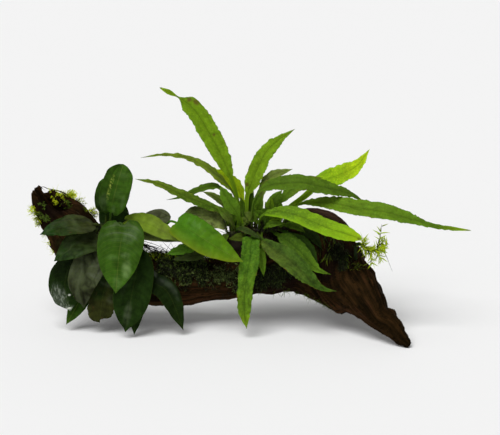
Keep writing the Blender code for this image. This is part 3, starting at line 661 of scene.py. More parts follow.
FERN_LEAVES = {
    "fern_leaf_tall": Leaf(
        -7, [(-11, 12, 118), (-18, 10, 143), (-28, 13, 166), (-40, 17, 188), (-52, 22, 206), (-66, 26, 217),
             (-86, 30, 227)],
        19, (0.1, -1, 0.2), 0.3, (0.2, 0.55, 0.8, 0.92, 1, 1.02, 0.98, 0.92, 0.84, 0.10, 0.27, 0.15),
        FRESH, FRESH, 0.25),
    "fern_leaf_arching_left": Leaf(
        -11, [(-12, 20, 114), (-18, 22, 129), (-32, 24, 143), (-49, 24, 155), (-66, 21, 162), (-85, 18, 164),
              (-104, 14, 162)],
        13, (0.05, -0.45, 1), 0.3, (0.2, 0.75, 1, 0.95, 0.75, 0.55, 0.4, 0.25, 0.06),
        GOLDEN, GOLDEN, 0.1),
    "fern_leaf_yellow_left": Leaf(
        -4, [(-6, 26, 114), (-14, 30, 131), (-28, 34, 140), (-45, 38, 149)],
        14, (0, -0.9, 0.4), 0.35, SMALL_LANCE, YELLOW, YELLOW),
    "fern_leaf_long_left": Leaf(
        -15, [(-21, 3, 108), (-34, 0, 116), (-51, -3, 124), (-68, -5, 132), (-88, -4, 141), (-109, 2, 144)],
        13, (0, -0.5, 0.9), 0.2, (0.3, 0.8, 1, 1, 0.95, 0.8, 0.6, 0.35, 0.06), MIDDLE, SUNNY, 0.1),
    "fern_leaf_hooked": Leaf(
        -14.5, [(-22, 21, 120), (-30, 24, 131), (-40, 24, 132), (-53, 22, 128), (-66, 18, 123),
                (-80, 14, 121)],
        10, (0, -0.5, 0.9), 0.35, (0.3, 0.9, 1, 0.85, 0.6, 0.3, 0.06), MIDDLE, MIDDLE, 0.15),
    "fern_leaf_olive": Leaf(
        -18, [(-22, 12, 112), (-31, 12, 123), (-45, 10, 130)],
        9, (0, -0.6, 0.8), 0.35, SMALL_LANCE, OLIVE, KHAKI, 0.3),
    "fern_leaf_short_bright": Leaf(
        -8, [(-12, -5, 112), (-20, -10, 125), (-28, -14, 141)],
        13, (-0.2, -1, 0.3), 0.35, SMALL_LANCE, MEADOW, (0.088, 0.190, 0.009)),
    "fern_leaf_short_pale": Leaf(
        -12, [(-19, -1, 105), (-25, -4, 113), (-31, -6, 120)],
        9, (-0.2, -1, 0.3), 0.35, SMALL_LANCE, KHAKI, MEADOW),
    "fern_leaf_upright": Leaf(
        -1, [(-3, 18, 120), (1, 20, 135), (7, 24, 149), (15, 29, 164), (27, 34, 175), (43, 40, 185)],
        16, (0.1, -1, 0.25), 0.28, (0.3, 0.78, 0.96, 1, 0.95, 0.82, 0.58, 0.3, 0.06),
        BRIGHT, BRIGHT, 0.15),
    "fern_leaf_arching_right": Leaf(
        2, [(3, 2, 120), (10, -2, 134), (21, -6, 140), (34, -8, 142), (48, -10, 143), (62, -9, 140),
            (77, -6, 136), (94, 1, 130), (110, 6, 120)],
        17, (0, -0.7, 0.7), 0.22, (0.15, 0.55, 0.88, 1, 1, 0.95, 0.83, 0.62, 0.33, 0.06),
        DUSKY, DUSKY, 0.05),
    "fern_leaf_long_right": Leaf(
        34, [(38, 16, 110), (48, 10, 118), (60, 4, 121), (76, -4, 122), (91, -12, 121), (107, -15, 119),
             (127, -20, 117), (144, -23, 113), (162, -26, 108), (178, -27, 104), (207, -28, 101)],
        18, (0, -0.7, 0.7), 0.15, (0.25, 0.5, 0.82, 0.98, 1, 1, 0.86, 0.52, 0.30, 0.24, 0.13),
        (0.104, 0.190, 0.008), MEADOW, 0.05),
    "fern_leaf_yellow_right": Leaf(
        26, [(37, 28, 110), (51, 32, 119), (70, 36, 134), (87, 42, 140), (103, 47, 147), (116, 52, 163)],
        20, (-0.2, -0.9, 0.5), 0.42, (0.25, 0.7, 0.95, 1, 0.95, 0.85, 0.6, 0.3, 0.06), LIME, YELLOW),
    "fern_leaf_front_right": Leaf(
        9, [(9, -5, 106), (14, -10, 113), (30, -20, 117), (47, -26, 114), (61, -31, 109), (75, -35, 104),
            (88, -39, 101), (104, -42, 96)],
        18, (0, -0.7, 0.7), 0.2, (0.35, 0.68, 0.88, 0.98, 1, 1, 0.97, 0.85, 0.45), MEADOW, LIME),
    "fern_leaf_hanging": Leaf(
        1, [(3, -10, 90), (1, -20, 86), (0, -31, 73), (-3, -37, 59), (-5, -42, 39), (-5, -44, 24),
            (-3, -45, 10)],
        18, (0, -1, 0.1), 0.13, (0.22, 0.88, 0.96, 0.97, 1, 0.89, 0.8, 0.79, 0.7, 0.45, 0.05),
        (0.048, 0.122, 0.007), (0.092, 0.172, 0.008), 0.2),
    "fern_leaf_hanging_small": Leaf(
        12, [(10, -10, 85), (11, -20, 74), (13, -24, 55)],
        8, (0, -1, 0.1), 0.3, SMALL_LANCE, MEADOW, MEADOW),
    "fern_leaf_spotted": Leaf(
        6, [(12, -18, 89), (23, -27, 82), (34, -33, 76), (47, -39, 66), (58, -43, 56), (69, -45, 49),
            (81, -46, 47)],
        20, (-0.1, -0.85, 0.5), 0.2, (0.25, 0.55, 0.82, 0.97, 1, 0.88, 0.67, 0.42, 0.2, 0.06),
        (0.055, 0.085, 0.010), (0.036, 0.082, 0.006), 0.3),
    "fern_leaf_low_right": Leaf(
        18, [(25, -8, 93), (35, -17, 89), (45, -24, 82), (54, -29, 73), (64, -32, 64), (76, -34, 60)],
        16, (0, -0.8, 0.6), 0.2, (0.4, 0.85, 1, 0.96, 0.8, 0.55, 0.28, 0.06), SHADE, MEADOW),
    "fern_leaf_shaded_upper": Leaf(
        30, [(42, -5, 99), (58, -11, 93), (68, -16, 80)],
        10, (0, -0.9, 0.5), 0.25, SMALL_LANCE, NIGHT, NIGHT),
    "fern_leaf_shaded_lower": Leaf(
        24, [(36, -10, 94), (54, -18, 84), (64, -22, 66)],
        10, (0, -0.9, 0.5), 0.25, SMALL_LANCE, SHADOW, SHADOW),
    "fern_leaf_small_front": Leaf(
        -4, [(-6, -10, 91), (-11, -16, 91), (-20, -20, 91)],
        9, (0, -0.8, 0.6), 0.3, SMALL_LANCE, OLIVE, OLIVE),
    "fern_leaf_grey_upright": Leaf(
        10, [(11, 24, 113), (12, 27, 128), (21, 30, 141), (41, 34, 147)],
        10, (0, -0.9, 0.4), 0.35, SMALL_LANCE, GREYED, GREYED, 0.1),
    "fern_leaf_behind_right": Leaf(
        17, [(25, 20, 112), (38, 23, 127), (56, 25, 138), (70, 26, 140)],
        12, (0, -0.8, 0.6), 0.3, SMALL_LANCE, MEADOW, SUNNY),
    "fern_leaf_young_centre": Leaf(
        6, [(7, 12, 110), (9, 10, 119), (11, 8, 126)],
        7, (0, -1, 0.2), 0.4, SMALL_LANCE, MEADOW, MEADOW),
    "fern_leaf_young_right": Leaf(
        15, [(18, -4, 101), (24, -8, 104), (30, -10, 106)],
        8, (0, -0.8, 0.6), 0.3, SMALL_LANCE, BRIGHT, BRIGHT),
    "fern_leaf_brown": Leaf(
        -20, [(-27, 4, 101), (-35, 2, 107), (-45, 0, 109), (-66, 0, 108)],
        24, (0, -0.75, 0.65), 0.1, (0.5, 0.85, 1, 0.92, 0.65, 0.1),
        (0.145, 0.180, 0.046), (0.105, 0.142, 0.032), 0.3),
    "fern_leaf_low_left": Leaf(
        -22, [(-35, -4, 85), (-55, -10, 81), (-80, -12, 74)],
        11, (0, -0.9, 0.5), 0.35, SMALL_LANCE, LEAF_GREEN, LEAF_GREEN),
}


def leaf_foot(leaf, line, radius):
    """Where the stalk leaves the rhizome: straight out of its skin, towards the stalk's next point."""
    rows = [Vector(row) for row in even_rows(line, STEM_PLACES)]
    i = min(range(len(rows)), key=lambda n: abs(rows[n].x - leaf.stem_x))
    centre = rows[i] * MM
    way = (Vector(leaf.line[0]) * MM - centre).normalized()
    return (centre + way * radius * 0.85) / MM


def leaf_mesh(name, leaf, foot, thickness, fold, lobe, wing, ripple, nicks, seed, tear=0.0):
    """A closed skin laid along the midrib: a round stalk that flattens into a thin, ribbed blade.

    fold: how far the halves rise from the midrib, as a slope.
    lobe: how far the base of the blade reaches back beside the stalk, as a share of its length.
    wing: half width of the narrow wings that run down the stalk from the blade, in metres.
    ripple: how far the margin waves up and down, and its wave length, both in metres.
    nicks: how uneven the margin's outline is, in metres.
    tear: how much shorter the tip is on its second side than on its first, in metres.
    """
    centres = [Vector(row) * MM for row in even_rows([foot, *leaf.line], MIDRIB_STEPS)]
    length = sum((b - a).length for a, b in zip(centres, centres[1:]))
    stalk = leaf.blade_from
    blade = (1 - stalk) * length
    middle = round(MIDRIB_STEPS * (1 + stalk) / 2)
    across = tangent(centres, middle).cross(Vector(leaf.face)).normalized()
    stalk_rows = max(3, round(stalk * length / STALK_STEP))
    blade_rows = round(blade / BLADE_STEP)
    shares = [stalk * i / stalk_rows for i in range(stalk_rows)]
    shares += [stalk + (1 - stalk) * i / blade_rows for i in range(blade_rows + 1)]
    upper = [-s for s in reversed(SIDES)] + list(SIDES[1:])
    ring_sides = [(s, 1) for s in upper] + [(s, -1) for s in upper[-2:0:-1]]
    rows = [(value,) for value in leaf.outline]
    height, wave = ripple
    rings, stored, stalks = [], [], []
    for share in shares:
        place = share * MIDRIB_STEPS
        i = min(int(place), MIDRIB_STEPS - 1)
        centre = centres[i].lerp(centres[i + 1], place - i)
        along = tangent(centres, round(place))
        out = (across - across.dot(along) * along).normalized()
        up = out.cross(along)
        u = max(0, (share - stalk) / (1 - stalk))
        rib = STALK_RADIUS * (1 - u) ** 0.7 * (0.85 if u else 1) + 0.10 * MM
        half = rib + wing * smooth(0.25, 1, share / stalk) * (1 - u) ** 4
        if share >= stalk:
            half = max(half, spline_at(rows, u)[0] * leaf.width * MM / 2 * smooth(-0.01, 0.045, u)
                       * math.sqrt(1 - u ** 24))
        flat = smooth(STALK_RADIUS, 3 * STALK_RADIUS, half)
        run = u * blade
        ring = []
        for s, face in ring_sides:
            side = math.copysign(1, s)
            scallop = noise.noise(Vector((run / (4.6 * MM), seed, 5 * side)))
            tooth = noise.noise(Vector((run / (1.7 * MM), seed + 50, 5 * side)))
            wide = half + flat * nicks * (0.8 * scallop + 0.6 * tooth) * min(1, half / (5 * MM))
            x = s * (half + (wide - half) * abs(s) ** 2)
            drift = noise.noise(Vector((run / (16 * MM), seed + 9, 3 * side)))
            swell = 0.65 + 0.7 * noise.noise(Vector((run / (12 * MM), seed + 70, 3 * side)))
            swing = math.sin(2 * math.pi * run / wave + 2.2 * side + 7 * drift)
            sway = swing * height * swell * flat * abs(s) ** 1.7
            pucker = noise.noise(Vector((run / (4.5 * MM), 2.4 * s, seed + 30)))
            drape = noise.noise(Vector((run / (28 * MM), 0.8 * s, seed + 90)))
            skin = thickness * math.sqrt(1 - s * s) * flat
            cord = math.sqrt(max(rib * rib - x * x, 0))
            if face > 0:
                lift = skin + cord * (1 - 0.85 * flat)
            else:
                lift = -(skin + cord * (1 - 0.35 * flat))
            back = lobe * blade * s * s * (1 - u) ** 3 * flat
            if tear:
                back += tear * (0.5 - 0.5 * s + 0.35 * noise.noise(Vector((3.5 * s, seed, 0)))) * u ** 8
            rise = fold * abs(x) * flat * (1 - 0.4 * s * s)
            wavy = (0.42 * height * pucker + 0.9 * height * drape * s) * flat
            ring.append(centre + out * x + up * (rise + sway + wavy + lift) - along * back)
            stored.append((s * flat, run / MM, x / MM))
            stalks.append(1 - share / stalk if share < stalk else 0)
        rings.append(ring)
    verts, faces = [], []
    loft(verts, faces, rings)
    mesh = new_mesh(name, verts, faces)
    store(mesh, "blade", stored)
    store(mesh, "stalk", stalks)
    return mesh, blade / MM


# Brown marks on single fronds: share of the blade, mm across it from the midrib, radius in mm. Across is
# to the right on a frond that stands up, and to the left on one that hangs.
FROND_MARKS = {
    "fern_leaf_tall": ((0.69, 6, 3.4), (0.74, 4, 3.0), (0.40, 3, 2.4)),
    "fern_leaf_upright": ((0.12, -4, 2.4),),
    "fern_leaf_front_right": ((0.97, 1, 1.6),),
}
# How much of the tip's last fifth has turned yellow.
YELLOW_TIPS = {
    "fern_leaf_long_right": 0.55, "fern_leaf_front_right": 0.45, "fern_leaf_tall": 0.3,
    "fern_leaf_hanging": 0.3,
}


def frond_finish(name, leaf, blade, seed):
    """Thin fern leaf: paler side veins in a net, a darker midrib, brown spots and a touch of gloss."""
    light = tuple(0.006 + 1.55 * c for c in leaf.tip)
    frond = Finish(
        name, Specular_IOR_Level=0.05, Subsurface_Weight=0.20, Subsurface_Radius=LEAF_GLOW,
        Subsurface_Scale=0.6 * MM)
    side = frond.attribute("blade", 0)
    run = frond.attribute("blade", 1)
    x = frond.attribute("blade", 2)
    clouds = frond.clouds(frond.stretched("blade", (7, 10, 7), seed), detail=3)
    mottle = frond.clouds(frond.stretched("blade", (1.2, 2.2, 2.2), seed + 3), detail=4, roughness=0.6)
    fine = frond.clouds(frond.stretched("blade", (0.6, 0.9, 0.9), seed), detail=3, roughness=0.6)
    patches = frond.clouds(frond.stretched("blade", (5, 10, 4.5), seed + 6), detail=4, roughness=0.55)
    net = frond.node(
        "ShaderNodeTexVoronoi", {"feature": "DISTANCE_TO_EDGE"},
        {"Vector": frond.stretched("blade", (0.25, 2.4, 1.9), seed), "Scale": 1.0})
    mesh_lines = net.rise(0.11, 0.0)
    side_veins = abs((run - abs(x) * 0.8 + clouds * 4).sine()).rise(0.20, 0.0)
    veins = (mesh_lines * 0.5 + side_veins * 0.5) * abs(side).rise(1.0, 0.6)
    midrib = abs(x).rise(0.55, 0.2)
    beside = abs(x).rise(2.4, 0.9)
    along = (run * (1 / blade) + clouds * 0.7 - 0.35).rise(0.15, 0.95)
    colour = frond.blend(along, leaf.base, leaf.tip)
    if name == "fern_leaf_spotted":
        colour = frond.blend(side.rise(0.3, -0.5) * 0.7, colour, leaf.tip)
    contrast = PATCHY.get(name, PATCHES)
    colour = frond.shade(colour, 1 + (patches - 0.5) * 1.7 * contrast + (mottle - 0.5) * 0.8 * contrast)
    colour = frond.blend(mottle.rise(0.50, 0.74) * 0.35, colour, light)
    colour = frond.blend(veins * 0.22, colour, light)
    if name == "fern_leaf_front_right":
        colour = frond.blend(side.rise(0.45, 0.95) * 0.6, colour, LIME)
    if name in YELLOW_TIPS:
        colour = frond.blend(run.rise(0.78 * blade, blade) * YELLOW_TIPS[name], colour, YELLOW)
    colour = frond.blend(beside * 0.18, colour, tuple(0.5 * c for c in leaf.base))
    colour = frond.blend(midrib * 0.35, colour, tuple(0.4 * c for c in leaf.base))
    if leaf.spots:
        blotch = frond.clouds(frond.stretched("blade", (2.4, 2.4, 2.4), seed + 20), detail=4, roughness=0.65)
        rust = blotch.rise(0.73 - 0.15 * leaf.spots, 0.84 - 0.15 * leaf.spots)
        margin = abs(side).rise(0.88, 1.0) * clouds.rise(0.52 - 0.1 * leaf.spots, 0.66)
        colour = frond.blend(rust * 0.75, colour, BROWN)
        colour = frond.blend(margin * 0.7, colour, RUST)
    for share, across, radius in FROND_MARKS.get(name, ()):
        away = ((run - share * blade) ** 2 + (x - across) ** 2) ** 0.5 + (clouds - 0.5) * 4 + (fine - 0.5) * 3
        colour = frond.blend(away.rise(radius, 0.3 * radius) * 0.7, colour, SPOT_BROWN)
    stalk_colour = LIME if leaf.tip == YELLOW else STALK_GREEN
    colour = frond.blend(frond.attribute("stalk").rise(0.1, 1) * 0.8, colour, stalk_colour)
    height = fine * 0.25 + mottle * 1.1 + clouds * 1.5 - veins * 0.7 - midrib * 0.6
    return frond.done(
        Base_Color=colour, Roughness=0.40 + fine * 0.20, Normal=frond.bump(height, 0.8, 0.55 * MM))


# Small fronds too slight for a solid of their own.
SMALL_FRONDS = {
    "small_frond_over_stems": Leaf(
        -12, [(-12, -4, 97), (-8, -12, 99), (1, -16, 96), (12, -19, 90)],
        6, (0, -0.8, 0.6), 0.25, SMALL_LANCE, (0.030, 0.052, 0.008), (0.030, 0.052, 0.008), 0.3),
    "small_frond_on_log": Leaf(
        -22, [(-34, -6, 79), (-50, -11, 73), (-74, -13, 69)],
        11, (0, -0.7, 0.7), 0.3, SMALL_LANCE, (0.034, 0.052, 0.010), (0.034, 0.052, 0.010)),
    "small_frond_left": Leaf(
        -20, [(-22, -6, 92), (-24, -12, 90), (-27, -15, 82)],
        6, (0, -0.9, 0.5), 0.3, SMALL_LANCE, OLIVE, MIDDLE, 0.3),
    "small_frond_right": Leaf(
        14, [(14, -8, 99), (20, -13, 104), (33, -17, 105)],
        7, (0, -0.8, 0.6), 0.4, SMALL_LANCE, MIDDLE, MEADOW),
    "small_frond_behind": Leaf(
        12, [(16, 10, 108), (22, 14, 120), (31, 17, 130)],
        10, (0, -0.9, 0.4), 0.3, SMALL_LANCE, MIDDLE, MEADOW),
    "small_frond_shoulder": Leaf(
        26, [(34, -8, 102), (44, -12, 101), (52, -15, 96)],
        8, (0, -0.8, 0.6), 0.3, SMALL_LANCE, MIDDLE, MIDDLE),
    "small_frond_crown_left": Leaf(
        -4, [(-6, 20, 107), (-7, 22, 113), (-9, 23, 122)],
        7, (0, -0.9, 0.3), 0.3, SMALL_LANCE, MIDDLE, MEADOW),
    "small_frond_crown_middle": Leaf(
        0, [(0, 21, 108), (0, 25, 120), (3, 27, 132)],
        8, (0, -0.9, 0.3), 0.3, SMALL_LANCE, SHADE, MIDDLE),
    "small_frond_crown_right": Leaf(
        5, [(5, 20, 108), (6, 23, 117), (8, 25, 127)],
        7, (0, -0.9, 0.3), 0.3, SMALL_LANCE, SHADE, MEADOW),
}

# How uneven a frond's margin is and how wide the wings on its stalk are, in mm on a full-sized frond.
FROND_NICKS = {"fern_leaf_front_right": 0.7}
USUAL_NICKS = 1.5
FROND_WINGS = {"fern_leaf_yellow_right": 2.2}
USUAL_WING = 1.1
FROND_FOLDS = {"fern_leaf_hanging": 0.3}
USUAL_FOLD = 0.15
FULL_WIDTH = 14  # mm; a narrower frond is rippled and nicked in proportion
YOUNG_FRONDS = 30


def frond(name, leaf, wing, ripple, nicks, seed, nodes=()):
    """One finished frond on the fern's rhizome."""
    foot = leaf_foot(leaf, FERN_RHIZOME_LINE, FERN_RHIZOME_RADIUS)
    fold = FROND_FOLDS.get(name, USUAL_FOLD)
    mesh, blade = leaf_mesh(name, leaf, foot, FROND_THICKNESS, fold, 0, wing, ripple, nicks, seed)
    show(name, mesh, frond_finish(name, leaf, blade, seed), nodes)


for number, (name, leaf) in enumerate([*FERN_LEAVES.items(), *SMALL_FRONDS.items()]):
    small = min(1, leaf.width / FULL_WIDTH)
    ripple = (0.85 * MM * small * CRUMPLED.get(name, 1), (9 + 5 * small) * MM)
    nicks = FROND_NICKS.get(name, USUAL_NICKS) * MM * small
    wing = FROND_WINGS.get(name, USUAL_WING) * MM * small
    frond(name, leaf, wing, ripple, nicks, 3.7 * number, (name,) if name in FERN_LEAVES else ())


def young_fronds():
    """Small fronds that crowd the rhizome between the large ones."""
    rng = random.Random(12)
    for number in range(YOUNG_FRONDS):
        stem_x = rng.choice((rng.uniform(-21, -9), rng.uniform(-16, -9), rng.uniform(10, 30)))
        side = rng.uniform(-1, 1)
        up = rng.uniform(0.5, 1.1)
        size = rng.uniform(11, 36) * (1 - 0.35 * abs(side))
        bud = next(Vector(row) for row in even_rows(FERN_RHIZOME_LINE, STEM_PLACES) if row[0] >= stem_x)
        out = Vector((0.6 * side, rng.uniform(-0.6, 0.8), up)).normalized()
        droop = Vector((0.25 * side, 0, -0.16)) * size
        line = [tuple(bud + out * (4.5 + size * t) + droop * t * t) for t in (0.25, 0.6, 1)]
        shades = rng.choice(((MIDDLE, BRIGHT), (SHADE, MEADOW), (MEADOW, BRIGHT), (MEADOW, KHAKI)))
        width = rng.uniform(5, 8) + 0.1 * size
        face = (rng.uniform(-0.5, 0.5), -0.9, 0.5)
        leaf = Leaf(stem_x, line, width, face, 0.3, SMALL_LANCE, *shades)
        name = "young_frond_%02d" % number
        frond(name, leaf, 0.9 * MM, (0.8 * MM, 9 * MM), 0.6 * MM, 300 + 4.1 * number)


young_fronds()


# ================================================================ anubias leaves
# Thick leathery leaves, egg or heart shaped, on stalks from the second rhizome: dark green and waxy,
# with side veins that curve towards the tip. The lowest ones are wet, worn or turning brown.

ANUBIAS_THICKNESS = 0.28 * MM
ANUBIAS_FOLD = 0.12
# Half widths of a blade from base to tip, as shares of the widest.
EGG = (0.35, 0.88, 1, 0.94, 0.75, 0.44, 0.05)
HEART = (0.6, 0.95, 1, 0.92, 0.74, 0.43, 0.05)
OVAL = (0.4, 0.83, 0.98, 1, 0.97, 0.85, 0.42)
BROAD = (0.75, 0.96, 1, 0.98, 0.88, 0.66, 0.38, 0.05)
LOW_OVAL = (0.4, 0.78, 0.95, 1, 0.9, 0.58, 0.05)
BLUNT = (0.3, 0.62, 0.88, 1, 0.95, 0.7, 0.1)
RAGGED = (0.35, 0.75, 0.95, 1, 1, 0.98, 0.85)

WAX_GREEN = (0.024, 0.060, 0.005)
WAX_LIGHT = (0.034, 0.088, 0.007)
# The darkest greens, on the low leaves and those behind, are darker by painted shade as well.
WAX_DARK = (0.009, 0.022, 0.003)
WAX_BLACK = (0.005, 0.011, 0.002)
WAX_GREY = (0.040, 0.050, 0.021)
WAX_ASH = (0.085, 0.095, 0.045)
WAX_OLIVE = (0.120, 0.165, 0.024)
WAX_LIME = (0.150, 0.235, 0.018)
YOUNG = (0.046, 0.132, 0.006)
YOUNG_TIP = (0.078, 0.165, 0.006)
STANDING = (0.029, 0.072, 0.006)

ANUBIAS_LEAVES = {
    "anubias_leaf_upright": Leaf(
        -133, [(-131, -14, 116), (-125.5, -19, 139), (-118.5, -16, 162)],
        28, (0, -1, 0.15), 0.34, OVAL, STANDING, STANDING),
    "anubias_leaf_upright_back": Leaf(
        -138, [(-136, -4, 113), (-135, -7, 130), (-129, -5, 147)],
        23, (-0.2, -1, 0.1), 0.28, OVAL, WAX_DARK, WAX_GREEN),
    "anubias_leaf_dark_back": Leaf(
        -129, [(-130, 13, 104), (-131, 15, 116), (-131, 18, 129)],
        29, (0.05, -1, 0.2), 0.1, HEART, WAX_DARK, WAX_DARK),
    "anubias_leaf_left_upper": Leaf(
        -143, [(-145, -8, 102), (-164, -22, 105), (-183, -27, 102), (-197, -28, 97)],
        25, (0, -0.6, 0.8), 0.2, EGG, (0.032, 0.040, 0.011), (0.006, 0.026, 0.003), 0.2),
    "anubias_leaf_left_middle": Leaf(
        -142, [(-146, -12, 90), (-162, -25, 87), (-184, -31, 72)],
        30, (-0.1, -0.8, 0.6), 0.1, BROAD, (0.024, 0.034, 0.009), (0.013, 0.032, 0.005)),
    "anubias_leaf_front": Leaf(
        -131, [(-125, -18, 105), (-119, -30, 105), (-122, -44, 80), (-125, -50, 46)],
        43, (0, -1, 0.25), 0.35, HEART, WAX_GREEN, WAX_LIGHT),
    "anubias_leaf_grey": Leaf(
        -139, [(-141, -14, 84), (-150, -26, 69), (-158, -32, 49), (-157, -30, 26)],
        32, (-0.2, -1, 0.2), 0.3, EGG, WAX_GREY, (0.013, 0.015, 0.006)),
    "anubias_leaf_wet": Leaf(
        -154, [(-159, -16, 84), (-168, -19, 70), (-175, -22, 47), (-170, -26, 22)],
        33, (-0.3, -1, 0.1), 0.3, BLUNT, WAX_BLACK, WAX_DARK),
    "anubias_leaf_low_left": Leaf(
        -142, [(-145, -9, 87), (-149, -16, 66), (-156, -17, 45), (-164, -18, 26), (-175, -20, 7)],
        20, (-0.2, -1, 0), 0.45, EGG, WAX_DARK, WAX_GREEN),
    "anubias_leaf_ragged": Leaf(
        -134, [(-134, -18, 68), (-136, -24, 51), (-140, -28, 33), (-142, -29, 12)],
        25, (0, -1, 0.1), 0.3, RAGGED, (0.010, 0.024, 0.003), (0.021, 0.024, 0.005), 0.3),
    "anubias_leaf_low_front": Leaf(
        -125, [(-117, -20, 80), (-106, -30, 70), (-111, -40, 41), (-117, -45, 7)],
        36, (0.15, -1, 0.15), 0.3, LOW_OVAL, WAX_DARK, WAX_DARK),
    "anubias_leaf_low_back": Leaf(
        -121, [(-112, -16, 74), (-109, -24, 52), (-108, -34, 27), (-109, -40, 3)],
        21, (0.2, -1, 0.1), 0.4, EGG, WAX_BLACK, WAX_DARK),
    "anubias_leaf_low_right": Leaf(
        -116, [(-104, -19, 74), (-94, -25, 53), (-79, -30, 43), (-71, -34, 29), (-63, -35, 6)],
        22, (0.35, -0.9, 0.3), 0.38, EGG, WAX_BLACK, (0.0085, 0.018, 0.003)),
    "anubias_leaf_pale_right": Leaf(
        -128, [(-120, -2, 101), (-114, -4, 105), (-97, -8, 103), (-80, -11, 95), (-63, -12, 87)],
        22, (0, -0.6, 0.8), 0.22, EGG, WAX_LIME, WAX_OLIVE),
    "anubias_leaf_behind_right": Leaf(
        -118, [(-108, 8, 93), (-102, 12, 98), (-90, 16, 103), (-76, 20, 103)],
        18, (0, -0.7, 0.7), 0.35, OVAL, WAX_ASH, WAX_ASH),
    "anubias_leaf_young": Leaf(
        -111, [(-100, 3, 90), (-88, 4, 94), (-79, -1, 101), (-73, -12, 106), (-57, -26, 101.5),
               (-42, -33, 93), (-23, -38, 82), (-6, -42, 74)],
        31, (0.1, -0.8, 0.6), 0.42, BROAD, YOUNG, YOUNG_TIP),
}
# A shaded leaf under the pale one; its form is too slight for a solid.
UNDER_LEAF = Leaf(
    -119, [(-112, -5, 93), (-102, -6, 92.5), (-84, -5, 89.5), (-62, -3, 84)],
    13, (0, -0.7, 0.7), 0.2, EGG, (0.110, 0.150, 0.036), (0.130, 0.170, 0.046))
TORN_EDGE = (0.210, 0.260, 0.040)
YOUNG_EDGE = (0.135, 0.175, 0.008)
# Painted highlights on a blade: mm from its base, mm across, half length, half width and strength.
PAINTED_HIGHLIGHTS = {
    "anubias_leaf_front": (
        (32, 6, 4, 8, 0.2), (29, -6, 4, 6, 0.55), (42, -8, 12, 6, 0.75), (54, -1, 10, 6, 0.3),
        (10, 8, 10, 9, 0.25), (10, -8, 10, 9, 0.25)),
    "anubias_leaf_upright": (
        (9, -9, 12, 6, 0.5), (38, 3, 6, 8, 0.3), (19, 4, 7, 7, 0.2), (14, 9, 9, 2.5, 0.5), (4, 2, 5, 3, 0.5)),
    "anubias_leaf_upright_back": ((12, -4, 10, 6, 0.3),),
    "anubias_leaf_left_upper": ((13, 5, 12, 5, 0.4), (22, -6, 12, 4, 0.25)),
    "anubias_leaf_left_middle": ((16, 2, 14, 5, 0.2),),
    "anubias_leaf_grey": ((12, 8, 11, 8, 0.35), (20, -6, 12, 8, 0.25), (30, 6, 8, 9, 0.3)),
    "anubias_leaf_ragged": ((17, 3, 12, 6, 0.4), (24, -3, 4, 8, 0.5), (38, -8, 7, 5, 0.5)),
    "anubias_leaf_low_front": ((58, 1, 15, 5, 0.8), (30, 9, 16, 4, 0.2)),
    "anubias_leaf_low_right": ((10, -8, 4, 4, 1.0), (28, -6, 16, 4, 0.25)),
    "anubias_leaf_wet": ((36.5, -10, 1.4, 2.4, 2.2), (42, -3.5, 1.4, 2.2, 2.2), (54.5, 1, 1.4, 4, 2.2)),
    "anubias_leaf_young": ((20, -8, 16, 5, 0.15),),
}
DULL_SHINE = (0.085, 0.105, 0.055)
WET_SHINE = (0.300, 0.340, 0.270)
# The colour of the painted highlights on the leaves that don't have the dull one.
HIGHLIGHT_COLOURS = {
    "anubias_leaf_front": (0.22, 0.32, 0.12), "anubias_leaf_low_right": (0.20, 0.23, 0.18),
    "anubias_leaf_wet": (0.70, 0.72, 0.66),
}
# How strongly the side veins shade the blade; elsewhere they hardly show.
RIBBED = {
    "anubias_leaf_front": 0.06, "anubias_leaf_upright": 0.07, "anubias_leaf_low_right": 0.06,
    "anubias_leaf_ragged": 0.10, "anubias_leaf_pale_right": 0.06, "anubias_leaf_low_front": 0.05,
}
# How strongly a leaf's colour changes from patch to patch; the others have 1.9.
MOTTLED = {
    "anubias_leaf_young": 1.2, "anubias_leaf_pale_right": 0.9, "anubias_leaf_front": 1.3,
    "anubias_leaf_left_upper": 2.6, "anubias_leaf_left_middle": 2.3,
}
# The share of the blade over which its base's colour turns into its tip's.
COLOUR_TURN = {"anubias_leaf_grey": (0.50, 0.80), "anubias_leaf_ragged": (0.35, 0.70)}
# How strongly the folds of a blade that has gone limp are painted: a painted highlight on each fold and a
# line of painted shade between them.
CREASES = {
    "anubias_leaf_grey": 0.30, "anubias_leaf_left_upper": 0.16, "anubias_leaf_left_middle": 0.12,
    "anubias_leaf_behind_right": 0.2,
}
# Single leaves' nicks, ripple and torn tip in mm, and the share by which their base reaches back, each
# with the usual value.
LEAF_NICKS = {"anubias_leaf_ragged": 1.5, "usual": 0.25}
LEAF_RIPPLES = {"anubias_leaf_grey": 1.5, "usual": 0.9}
LEAF_TEARS = {"anubias_leaf_ragged": 4.5, "usual": 0}
LEAF_LOBES = {"anubias_leaf_young": 0.04, "usual": 0.12}


def of_leaf(table, name):
    """A leaf's own value, or the usual one."""
    return table.get(name, table["usual"])


def oval(run, x, place, sizes):
    """1 at a place on the blade, falling to 0 at the edge of an oval round it; all in mm."""
    down = (run - place[0]) * (1 / sizes[0])
    over = (x - place[1]) * (1 / sizes[1])
    return (down * down + over * over).rise(1, -0.45)


